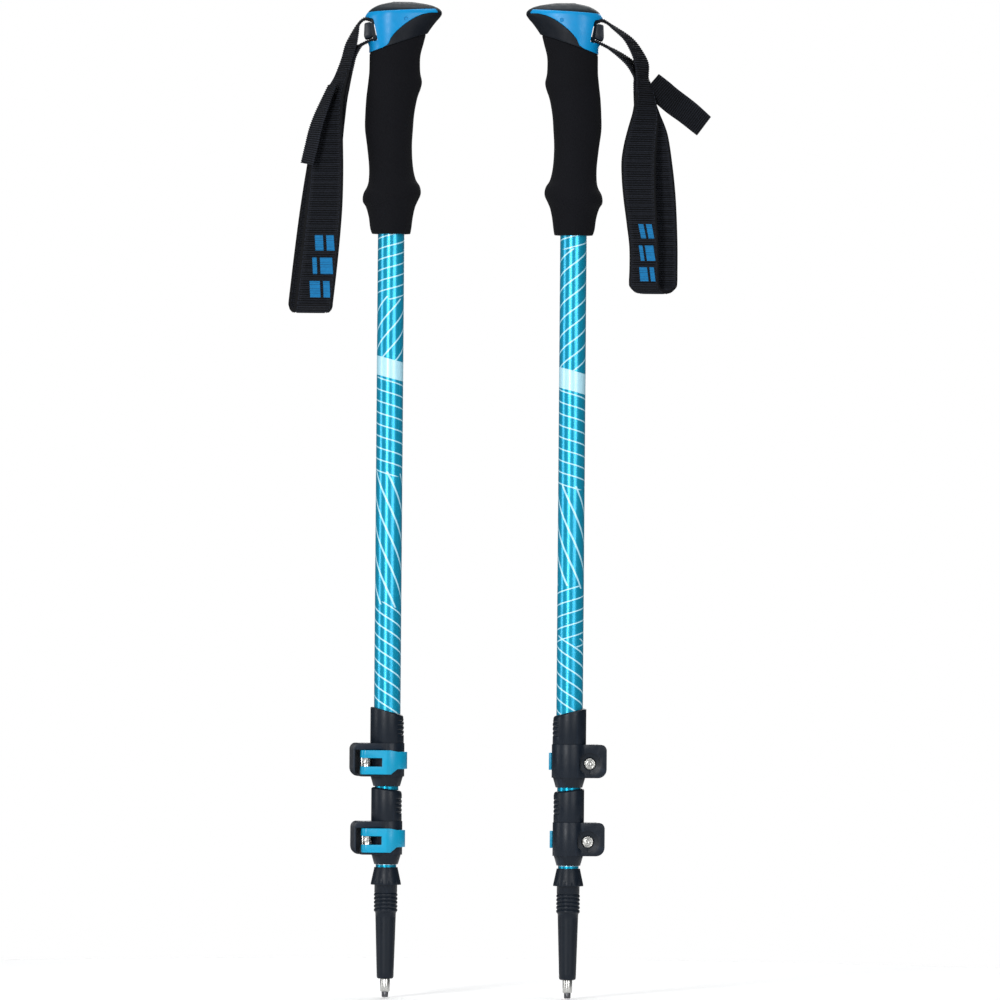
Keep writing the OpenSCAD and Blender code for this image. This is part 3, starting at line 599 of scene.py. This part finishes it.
def band_between(form, low, high, count, rows, wall, lip, gap=0.08):
    """A closed shell of the form's surface between two height lines, with rounded lips."""
    columns = []
    for i in range(count):
        angle = 2 * math.pi * i / count
        a, b = form.share_at(angle, low), form.share_at(angle, high)
        b = max(b, a + 0.02)
        za, zb = form.point(a, angle)[2], form.point(b, angle)[2]
        span = max(zb - za, 0.01)
        r = min(lip, span / 3)
        inset, per_mm = gap / span, (b - a) / span
        a, b = a + inset * (b - a), b - inset * (b - a)
        corner = 0.3 * r
        column = [form.point(a, angle, wall), form.point(a, angle, r),
                  form.point(a + corner * per_mm, angle, corner)]
        start, end = a + r * per_mm, b - r * per_mm
        column += [form.point(start + (end - start) * k / rows, angle) for k in range(rows + 1)]
        column += [form.point(b - corner * per_mm, angle, corner), form.point(b, angle, r),
                   form.point(b, angle, wall)]
        columns.append(column)
    bm = bmesh.new()
    add_rings(bm, [list(ring) for ring in zip(*columns)], closed=True)
    return bm


def lift(rows, height, grow=0.0):
    return [(row[0] + height, row[1] + grow, row[2] + grow, row[3] + grow) for row in rows]


def round_cutter(x, y_low, y_high, z, r, count=40):
    return prism([(x + r * math.cos(2 * math.pi * i / count), z + r * math.sin(2 * math.pi * i / count))
                  for i in range(count)], y_low, y_high)


def above(height):
    """That line of the head, raised to where the head sits."""
    return lambda x: height(x) + HEAD_Z


def slot_cutter():
    return prism([(x, z + HEAD_Z) for x, z in rounded_outline(SLOT_SIDE, 2.0)], -FAR, FAR)


def build_shell(side, shell_edge):
    """The blue shell, cut open for the strap block, the ends of the cross pin and the beak."""
    def lower(x):
        return max(shell_edge(x), foam_top(x))

    proud = EggForm(lift(HEAD_ROWS, HEAD_Z, 0.12))
    shell = band_between(proud, above(lower), above(cap_edge), HEAD_COUNT, 30, 1.6, 0.35)
    beak = prism([(30.4, HEAD_Z), (60, HEAD_Z), (60, HEAD_Z + FAR), (30.4, HEAD_Z + FAR)], -FAR, FAR)
    cutters = [slot_cutter(), beak]
    for y_low, y_high in ((-FAR, -15.8), (15.8, FAR)):
        cutters.append(round_cutter(9.2, y_low, y_high, HEAD_Z + 15.9, 1.35))
    make_piece("head_shell_blue_" + side, cut_away(shell, cutters), side, "shell",
               "upper_" + side, ("head_shell_" + side,))


def build_cap(side, form):
    cap = bmesh.new()
    columns = []
    for i in range(HEAD_COUNT):
        angle = 2 * math.pi * i / HEAD_COUNT
        a = form.share_at(angle, above(cap_edge))
        column = [form.point(a + 0.002, angle, 3.0), form.point(a + 0.002, angle, 0.4),
                  form.point(a + 0.006, angle, 0.1)]
        column += [form.point(a + 0.012 + (1 - a - 0.012) * k / 22, angle) for k in range(23)]
        columns.append(column)
    grid = add_rings(cap, [list(ring) for ring in zip(*columns)])
    cap.faces.new(list(reversed(grid[0])))
    top = cap.verts.new((8.0, 0, HEAD_Z + HEAD_H))
    for i in range(HEAD_COUNT):
        cap.faces.new((grid[-1][i], grid[-1][(i + 1) % HEAD_COUNT], top))
    make_piece("head_cap_soft_" + side, cap, side, "cap", "upper_" + side,
               ("head_cap_" + side,))


def build_body(side, form, shell_edge):
    """The dark skirt under the shell with a core inside the head, both open for the strap block."""
    skirt = band_between(form, above(foam_top), above(shell_edge), HEAD_COUNT, 16, 2.2, 0.3)
    core = bmesh.new()
    rings = [[form.point(0.04 + 0.72 * k / 12, 2 * math.pi * i / 64, 1.9) for i in range(64)]
             for k in range(13)]
    grid = add_rings(core, rings)
    core.faces.new(list(reversed(grid[0])))
    core.faces.new(grid[-1])
    low, high, front = HEAD_Z - 0.9, HEAD_Z + 17.1, -5.1
    pocket = prism([(-FAR, low), (front, low), (front, high), (-FAR, high)], -10.8, 10.8)
    core = cut_away(core, [pocket, slot_cutter()])
    spare = bpy.data.meshes.new("core")
    core.to_mesh(spare)
    core.free()
    skirt = cut_away(skirt, [slot_cutter()])
    skirt.from_mesh(spare)
    bpy.data.meshes.remove(spare)
    make_piece("head_body_dark_" + side, skirt, side, "body", "upper_" + side,
               ("head_body_" + side,))


def build_head(side):
    shell_edge = lookup(smoothed(SHELL_EDGE, 6))
    form = EggForm(lift(HEAD_ROWS, HEAD_Z))
    build_shell(side, shell_edge)
    build_cap(side, form)
    build_body(side, form, shell_edge)


def add_cheek(bm, form, inner, flip):
    """One side of the strap block, from beside the webbing out to the head's own surface."""
    rings = []
    for share, inset in CHEEK_ROWS:
        z = 1.1 + 14.9 * share
        at = form.share_at(math.pi, lambda x: z + HEAD_Z)
        back = -form.point(at, math.pi)[0]
        wide = form.point(at, math.pi / 2)[1]
        face = -10.6 - 3.1 * share - inset
        first = math.acos(face / back)
        last = math.pi - math.asin(inner / wide)
        ring = [(face, flip * inner, z + HEAD_Z)]
        for k in range(9):
            angle = first + (last - first) * k / 8
            x, y, _z = form.point(at, angle, 0.12 + inset)
            ring.append((x, flip * max(y, inner + 0.01 * (8 - k)), z + HEAD_Z))
        rings.append(ring)
    grid = add_rings(bm, rings)
    bm.faces.new(grid[0])
    bm.faces.new(grid[-1])


def build_wedge(side):
    """The block that clamps the webbing, with rounded edges."""
    half = STRAP_HALF + 0.5
    outline = rounded_outline(WEDGE_SIDE, 1.0, 4)
    bm = bmesh.new()
    middle = Vector((-15.8, 8.0))
    rings = []
    ends = ((half, 0.7), (half - 0.2, 0.25), (half - 0.7, 0.0))
    for y, inset in [(-y, inset) for y, inset in ends] + list(reversed(ends)):
        ring = []
        for point in outline:
            p = Vector(point)
            p += (middle - p).normalized() * inset
            ring.append((p.x, y, p.y + HEAD_Z))
        rings.append(ring)
    grid = add_rings(bm, rings)
    bm.faces.new(list(reversed(grid[0])))
    bm.faces.new(grid[-1])
    form = EggForm(lift(HEAD_ROWS, HEAD_Z))
    for flip in (-1, 1):
        add_cheek(bm, form, half, flip)
    make_piece("strap_wedge_block_" + side, bm, side, "plastic", "wedge_" + side,
               ("strap_wedge_" + side,))


def build_foam(side):
    rows = [(FOAM_Z + share * FOAM_LEN, WAIST_R + back, WAIST_R + front, WAIST_R + side_out)
            for share, back, front, side_out in FOAM_ROWS]
    form = EggForm(rows)
    count, up = 128, 130
    columns = []
    for i in range(count):
        angle = 2 * math.pi * i / count
        end = form.share_at(angle, lambda x: foam_top(x) + HEAD_Z)
        top = form.point(end, angle)[2]
        bore = [(TUBE_R * math.cos(angle), TUBE_R * math.sin(angle), z) for z in (top, FOAM_Z)]
        column = [form.point(0.0, angle, 1.3), form.point(0.001, angle, 0.7),
                  form.point(0.003, angle, 0.25)]
        column += [form.point(0.009 + (end - 0.018) * k / up, angle) for k in range(up + 1)]
        column += [form.point(end - 0.003, angle, 0.2), form.point(end, angle, 0.7)]
        columns.append(column + bore)
    bm = bmesh.new()
    add_rings(bm, [list(ring) for ring in zip(*columns)], closed=True)
    piece = make_piece("grip_foam_soft_" + side, bm, side, "foam", "upper_" + side,
                       ("grip_foam_" + side,))


# ---- Straps ----

class Band:
    """A flat band along a path of rows: x, y, z, turn, half width and half thickness."""

    def __init__(self, rows, step, sheared=False):
        points = smoothed(rows, 12)
        lengths = [0.0]
        for a, b in zip(points, points[1:]):
            lengths.append(lengths[-1] + (Vector(b[:3]) - Vector(a[:3])).length)
        self.length = lengths[-1]
        self.count = max(2, int(self.length / step))
        self.stations = []
        for k in range(self.count + 1):
            s = self.length * k / self.count
            i = max(1, min(bisect.bisect_left(lengths, s), len(points) - 1))
            share = (s - lengths[i - 1]) / max(lengths[i] - lengths[i - 1], 1e-9)
            self.stations.append(tuple(p + (q - p) * share for p, q in zip(points[i - 1], points[i])))
        self.frames = []
        for k, row in enumerate(self.stations):
            ahead, behind = self.stations[min(k + 1, self.count)], self.stations[max(k - 1, 0)]
            along = (Vector(ahead[:3]) - Vector(behind[:3])).normalized()
            turn = math.radians(row[3])
            across = Vector((math.cos(turn), math.sin(turn), 0))
            wide = across if sheared else (across - along * across.dot(along)).normalized()
            self.frames.append((Vector(row[:3]), wide, along.cross(wide).normalized()))

    def point(self, k, v, lift=0.0, thick=1.0, out=1):
        """A point at station k and share v of the half width, on the outer or inner face."""
        centre, wide, normal = self.frames[k]
        row = self.stations[k]
        return centre + wide * row[4] * v + normal * out * (row[5] * thick + lift)

    def at(self, distance):
        return max(0, min(self.count, int(round(distance / self.length * self.count))))


def web_profile(v, binding):
    """Share of the thickness across the band: rounded edges, a raised binding and a crowned middle."""
    edge = max(0.0, 1 - abs(v)) / 0.06
    thick = math.sqrt(max(0.0, 1 - (1 - min(1.0, edge)) ** 2))
    if not binding:
        return 0.25 + 0.75 * thick
    if abs(v) > BINDING_AT:
        return 0.15 + 0.85 * thick
    dip = min(1.0, (BINDING_AT - abs(v)) / 0.05)
    return 1.0 - 0.22 * math.sin(dip * math.pi) + 0.04 * (1 - (v / BINDING_AT) ** 2) * dip


def build_band(band, bound, sizes, across=28):
    """The closed skin of a band; face material 1 is the binding and 2 the painted rib shadow on the faces
    in the troughs between ribs.
    """
    pitch, depth = sizes.rib_pitch / MM, sizes.rib_depth / MM
    bm = bmesh.new()
    vs = [-1 + 2 * i / across for i in range(across + 1)]
    rings = []
    for k in range(band.count + 1):
        s = band.length * k / band.count
        rib = depth * math.cos(2 * math.pi * s / pitch)
        upper, under = [], []
        for v in vs:
            inner = 1.0 if not bound(s) or abs(v) < 0.78 else 0.0
            bump = rib * inner * min(1.0, (1 - abs(v)) / 0.08)
            shape = web_profile(v, bound(s))
            upper.append(band.point(k, v, bump, shape, 1))
            under.append(band.point(k, v, bump, shape, -1))
        rings.append(upper + list(reversed(under)))
    grid = add_rings(bm, rings)
    bm.faces.ensure_lookup_table()
    around = len(rings[0])
    for index, face in enumerate(bm.faces):
        k, i = divmod(index, around)
        inward = min(i % (across + 1), across - i % (across + 1))
        s = band.length * (k + 0.5) / band.count
        if bound(s) and inward < 0.1 * across:
            face.material_index = 1
        # Faces in the troughs between ribs take the painted rib shadow.
        elif math.cos(2 * math.pi * s / pitch) < -0.1:
            face.material_index = 2
    bm.faces.new(list(reversed(grid[0])))
    bm.faces.new(grid[-1])
    return bm


def loop_rows(side):
    """Rows of the whole strap: from the pin out along the lower arm, down, round and back up."""
    spec = STRAPS[side]
    hx, hz = spec["hinge"]
    down = smoothed(spec["hang"], 2)

    def layer(which):
        rows = []
        for x, z, turn, gap, half, skew in down:
            c, w = math.cos(math.radians(turn)), math.sin(math.radians(turn))
            rows.append((hx + x - (w * gap + c * skew / 2) * which, (c * gap - w * skew / 2) * which,
                         hz + z, turn, half, min(PAD_HALF, max(WEB_HALF, gap - 0.3))))
        return rows

    def level(points):
        return [(x, 0, z, turn, STRAP_HALF, WEB_HALF) for x, z, turn in points]
    x, z, turn, gap, half, skew = down[-1]
    flip = math.cos(math.radians(turn))
    fold = []
    for a in (30, 60, 90, 120, 150):
        c, w = math.cos(math.radians(a)) * flip, math.sin(math.radians(a))
        fold.append((hx + x - c * skew / 2, c * gap, hz + z - w * 1.2 * gap, turn, half, PAD_HALF))
    rows = list(WEB_IN) + level(spec["lower_arm"]) + layer(-1) + list(reversed(fold))
    rows += list(reversed(layer(1))) + level(spec["upper_arm"]) + level(WEB_OUT)
    return [(x, y, z + HEAD_Z, t, w, h) for x, y, z, t, w, h in rows]


def add_thread(bm, band, s, v, out, length):
    """One stitch: a low rounded bar along the band, sunk in at its sides."""
    sunk, crown = -0.15, 0.42
    rings = []
    for share, high in ((-0.5, 0.0), (-0.38, 0.7), (0.0, 1.0), (0.38, 0.7), (0.5, 0.0)):
        k = band.at(s + share * length)
        half = 0.035 * (0.5 + 0.5 * high)
        rings.append([band.point(k, v - half, sunk, 1.0, out),
                      band.point(k, v, crown * high - 0.1, 1.0, out),
                      band.point(k, v + half, sunk, 1.0, out)])
    grid = add_rings(bm, rings)
    bm.faces.new(grid[0])
    bm.faces.new(grid[-1])


def add_mark(bm, band, low, high, v_low, v_high, base):
    """One thin raised bar on the outer face of the front layer, between two heights."""
    sunk, proud, slope = -0.1, 0.3, 0.02
    front = [k for k, row in enumerate(band.stations)
             if base + low <= row[2] <= base + high and k > band.count / 2]
    rings = []
    middle = base + (low + high) / 2
    for k in front[::2]:
        lean = 0.012 * (band.stations[k][2] - middle)
        profile = ((v_low, sunk), (v_low + slope, proud), (v_high - slope, proud), (v_high, sunk))
        rings.append([band.point(k, v + lean, rise) for v, rise in profile])
    grid = add_rings(bm, rings)
    bm.faces.new(grid[0])
    bm.faces.new(grid[-1])


def build_strap(side, sizes):
    spec = STRAPS[side]
    hx, hz = spec["hinge"]
    band = Band(loop_rows(side), 0.4, sheared=True)
    low_z = HEAD_Z + hz - 12
    padded = [row[2] < low_z for row in band.stations]
    bm = build_band(band, lambda s: padded[band.at(s)], sizes)
    # Materials: webbing with painted light on the crests, binding, and the painted rib shadow in the
    # troughs.
    piece = make_piece("strap_loop_webbing_" + side, bm, side, ("webbing", "binding", "rib_shadow"),
                       None, ("strap_anchor_" + side, "strap_loop_" + side), 60.0)
    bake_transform(piece)

    stitch = sizes.stitch_len / MM
    threads = bmesh.new()
    spacing = 1.4 * stitch
    for i in range(int(band.length / spacing)):
        s = (i + 0.5) * spacing
        k = band.at(s)
        if not padded[k]:
            continue
        for v in (-0.84, 0.84):
            for out in (-1, 1):
                add_thread(threads, band, s, v, out, stitch)
    make_piece("strap_stitches_" + side, threads, side, "thread", "strap_" + side)
    marks = bmesh.new()
    for low, high, v_low, v_high in spec["marks"]:
        add_mark(marks, band, low, high, v_low, v_high, hz + HEAD_Z)
    make_piece("strap_marks_" + side, marks, side, "motif", "strap_" + side)

    rows = [(hx + x, y, hz + HEAD_Z + z, turn, 9.8, 0.75) for x, y, z, turn in spec["tail"]]
    tail = Band(rows, 0.3)
    bm = build_band(tail, lambda s: False, sizes, 24)
    # The loose end's troughs also take the painted rib shadow.
    finishes = (spec["tail_finish"], "binding", "rib_shadow")
    make_piece("strap_tail_webbing_" + side, bm, side, finishes, "strap_" + side,
               ("strap_tail_" + side,), 60.0)


# ---- Locks, tips and tubes ----

def rounded_copy(node, body, material, width):
    """The node's own shape with its edges rounded."""
    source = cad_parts[node]
    bm = bmesh.new()
    bm.from_mesh(source.data)
    bmesh.ops.remove_doubles(bm, verts=bm.verts, dist=2e-6)
    bmesh.ops.dissolve_limit(bm, angle_limit=math.radians(1.0), verts=bm.verts, edges=bm.edges)
    sharp = [e for e in bm.edges if len(e.link_faces) == 2 and e.calc_face_angle() > math.radians(32)]
    bmesh.ops.bevel(bm, geom=sharp, offset=width, segments=2, profile=0.5, affect="EDGES",
                    clamp_overlap=True)
    bmesh.ops.triangulate(bm, faces=[f for f in bm.faces if len(f.verts) > 4])
    mesh = bpy.data.meshes.new(node)
    bm.to_mesh(mesh)
    bm.free()
    link_piece(node + "_rounded", mesh, material, body, (node,))


def give(node, material):
    """A CAD node keeps its shape and takes a finish."""
    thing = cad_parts[node]
    if not thing.material_slots:
        thing.data.materials.append(FINISHES[material])
    for entry in thing.material_slots:
        entry.material = FINISHES[material]


def build_locks(side, sizes):
    width = sizes.edge_round
    for level, body in (("upper", "upper_" + side), ("lower", "middle_" + side)):
        rounded_copy(f"{level}_collar_{side}", body, "plastic", width)
        rounded_copy(f"{level}_clamp_{side}", body, "plastic", width)
        rounded_copy(f"{level}_lever_{side}", f"{level}_lever_{side}", "lever", width)
        rounded_copy(f"{level}_screw_{side}", f"{level}_screw_{side}", "steel", width / 3)
        rounded_copy(f"{level}_saddle_{side}", body, "steel", width / 3)
        rounded_copy(f"{level}_barrel_{side}", body, "steel", width / 2)


def build_tips(side, sizes):
    body = "lower_" + side
    rounded_copy("tip_sleeve_" + side, body, "tip", sizes.edge_round * 0.6)
    rounded_copy("tip_ferrule_" + side, body, "steel", sizes.edge_round / 2)
    rounded_copy("tip_insert_" + side, body, "carbide", sizes.edge_round / 3)


def build_tubes(side):
    give("upper_tube_" + side, "print_" + side)
    for node in ("middle_tube_", "lower_tube_"):
        give(node + side, "tube")
    for node in ("middle_guide_", "lower_guide_"):
        give(node + side, "guide")
    give("strap_pin_" + side, "steel")


# ---- Stage ----

def add_light(name, place_at, aim, size, power):
    data = bpy.data.lights.new(name, "AREA")
    data.shape = "RECTANGLE"
    data.size, data.size_y = size
    data.energy = power
    lamp = bpy.data.objects.new(name, data)
    lamp.location = place_at
    lamp.rotation_euler = (Vector(aim) - Vector(place_at)).to_track_quat("-Z", "Y").to_euler()
    bpy.context.scene.collection.objects.link(lamp)


def build_stage(sizes):
    scene = bpy.context.scene
    middle = Vector((MIDDLE_X, 0.0, 0.3386))
    camera = bpy.data.objects.new("camera", bpy.data.cameras.new("camera"))
    camera.data.lens = 420
    camera.data.sensor_width = 36
    distance = 0.680 * camera.data.lens / camera.data.sensor_width
    camera.data.clip_end = 50
    camera.location = middle + Vector((0, -distance, 0))
    camera.rotation_euler = (math.radians(90), math.radians(-0.47), 0)
    scene.collection.objects.link(camera)
    scene.camera = camera
    scene.view_settings.view_transform = "Standard"

    world = bpy.data.worlds.new("studio")
    world.use_nodes = True
    tree = world.node_tree
    back, out = tree.nodes["Background"], tree.nodes["World Output"]
    back.inputs[0].default_value = (0.62, 0.64, 0.66, 1)
    back.inputs[1].default_value = 0.20 * sizes.light_strength
    white = tree.nodes.new("ShaderNodeBackground")
    white.inputs[0].default_value = (1, 1, 1, 1)
    path, mix = tree.nodes.new("ShaderNodeLightPath"), tree.nodes.new("ShaderNodeMixShader")
    tree.links.new(path.outputs["Is Camera Ray"], mix.inputs[0])
    tree.links.new(back.outputs[0], mix.inputs[1])
    tree.links.new(white.outputs[0], mix.inputs[2])
    tree.links.new(mix.outputs[0], out.inputs[0])
    scene.world = world

    bm = bmesh.new()
    bmesh.ops.create_circle(bm, cap_ends=True, radius=0.7, segments=96)
    mesh = bpy.data.meshes.new("floor")
    bm.to_mesh(mesh)
    bm.free()
    made = Finish("pale floor")
    made.set(Base_Color=made.blend(made.noise(3.0), (0.93, 0.93, 0.93), (0.96, 0.96, 0.96)), Roughness=0.9)
    mesh.materials.append(made.material)
    floor = bpy.data.objects.new("floor", mesh)
    floor.location = (MIDDLE_X, 0, -0.0006)
    scene.collection.objects.link(floor)

    strength = sizes.light_strength
    aim = (0.06, 0, 0.34)
    add_light("key strip", (-0.75, -2.1, 0.9), aim, (0.35, 1.6), 40 * strength)
    add_light("front fill", (1.3, -2.0, 0.8), aim, (1.0, 1.2), 24 * strength)
    add_light("left fill", (-2.2, -0.4, 0.7), aim, (0.6, 1.4), 14 * strength)
    add_light("back fill", (0.4, 2.2, 1.2), aim, (1.2, 1.2), 20 * strength)
    add_light("top", (0.07, 0.3, 1.7), (0.07, 0.1, 0.0), (1.2, 1.2), 17 * strength)


# ---- Operators ----

def on_each_side(build, *values):
    if not FINISHES:
        raise RuntimeError("make the finishes first")
    for side in SIDES:
        build(side, *values)
    return {"FINISHED"}


class POLES_OT_stage(bpy.types.Operator):
    """Set up the camera, the lights and the pale floor"""
    bl_idname = "poles.stage"
    bl_label = "Stage"

    def execute(self, context):
        build_stage(context.scene.pole_sizes)
        return {"FINISHED"}


class POLES_OT_finishes(bpy.types.Operator):
    """Make every material from the chosen colours"""
    bl_idname = "poles.finishes"
    bl_label = "Finishes"

    def execute(self, context):
        make_finishes(context.scene.pole_colours)
        return {"FINISHED"}


class POLES_OT_heads(bpy.types.Operator):
    """Build the moulded heads: cap, shell and body"""
    bl_idname = "poles.heads"
    bl_label = "Heads"

    def execute(self, context):
        return on_each_side(build_head)


class POLES_OT_wedges(bpy.types.Operator):
    """Build the blocks that clamp the strap in each head"""
    bl_idname = "poles.wedges"
    bl_label = "Strap wedges"

    def execute(self, context):
        return on_each_side(build_wedge)


class POLES_OT_grips(bpy.types.Operator):
    """Build the foam grips"""
    bl_idname = "poles.grips"
    bl_label = "Foam grips"

    def execute(self, context):
        return on_each_side(build_foam)


class POLES_OT_straps(bpy.types.Operator):
    """Build the wrist straps and their loose ends"""
    bl_idname = "poles.straps"
    bl_label = "Wrist straps"

    def execute(self, context):
        return on_each_side(build_strap, context.scene.pole_sizes)


class POLES_OT_tubes(bpy.types.Operator):
    """Give the tubes, the guide bushes and the strap pins their finishes"""
    bl_idname = "poles.tubes"
    bl_label = "Tubes"

    def execute(self, context):
        return on_each_side(build_tubes)


class POLES_OT_locks(bpy.types.Operator):
    """Build the lever locks with rounded edges"""
    bl_idname = "poles.locks"
    bl_label = "Lever locks"

    def execute(self, context):
        return on_each_side(build_locks, context.scene.pole_sizes)


class POLES_OT_tips(bpy.types.Operator):
    """Build the tips with rounded edges"""
    bl_idname = "poles.tips"
    bl_label = "Tips"

    def execute(self, context):
        return on_each_side(build_tips, context.scene.pole_sizes)


OPERATORS = (POLES_OT_stage, POLES_OT_finishes, POLES_OT_heads, POLES_OT_wedges, POLES_OT_grips,
             POLES_OT_straps, POLES_OT_tubes, POLES_OT_locks, POLES_OT_tips)


class POLES_PT_panel(bpy.types.Panel):
    """Lists the sizes, the colours and the pieces"""
    bl_idname = "POLES_PT_panel"
    bl_label = "Trekking poles"
    bl_space_type = "VIEW_3D"
    bl_region_type = "UI"
    bl_category = "Poles"

    def draw(self, context):
        layout = self.layout
        for group in (context.scene.pole_sizes, context.scene.pole_colours):
            box = layout.box()
            for name in group.__annotations__:
                box.prop(group, name)
        for operator in OPERATORS:
            layout.operator(operator.bl_idname)


CLASSES = (POLES_PG_sizes, POLES_PG_colours, *OPERATORS, POLES_PT_panel)


def register():
    for entry in CLASSES:
        bpy.utils.register_class(entry)
    bpy.types.Scene.pole_sizes = bpy.props.PointerProperty(type=POLES_PG_sizes)
    bpy.types.Scene.pole_colours = bpy.props.PointerProperty(type=POLES_PG_colours)


def unregister():
    del bpy.types.Scene.pole_sizes
    del bpy.types.Scene.pole_colours
    for entry in reversed(CLASSES):
        bpy.utils.unregister_class(entry)


def main():
    register()
    for operator in OPERATORS:
        group, name = operator.bl_idname.split(".")
        getattr(getattr(bpy.ops, group), name)()


if __name__ == "__main__":
    main()
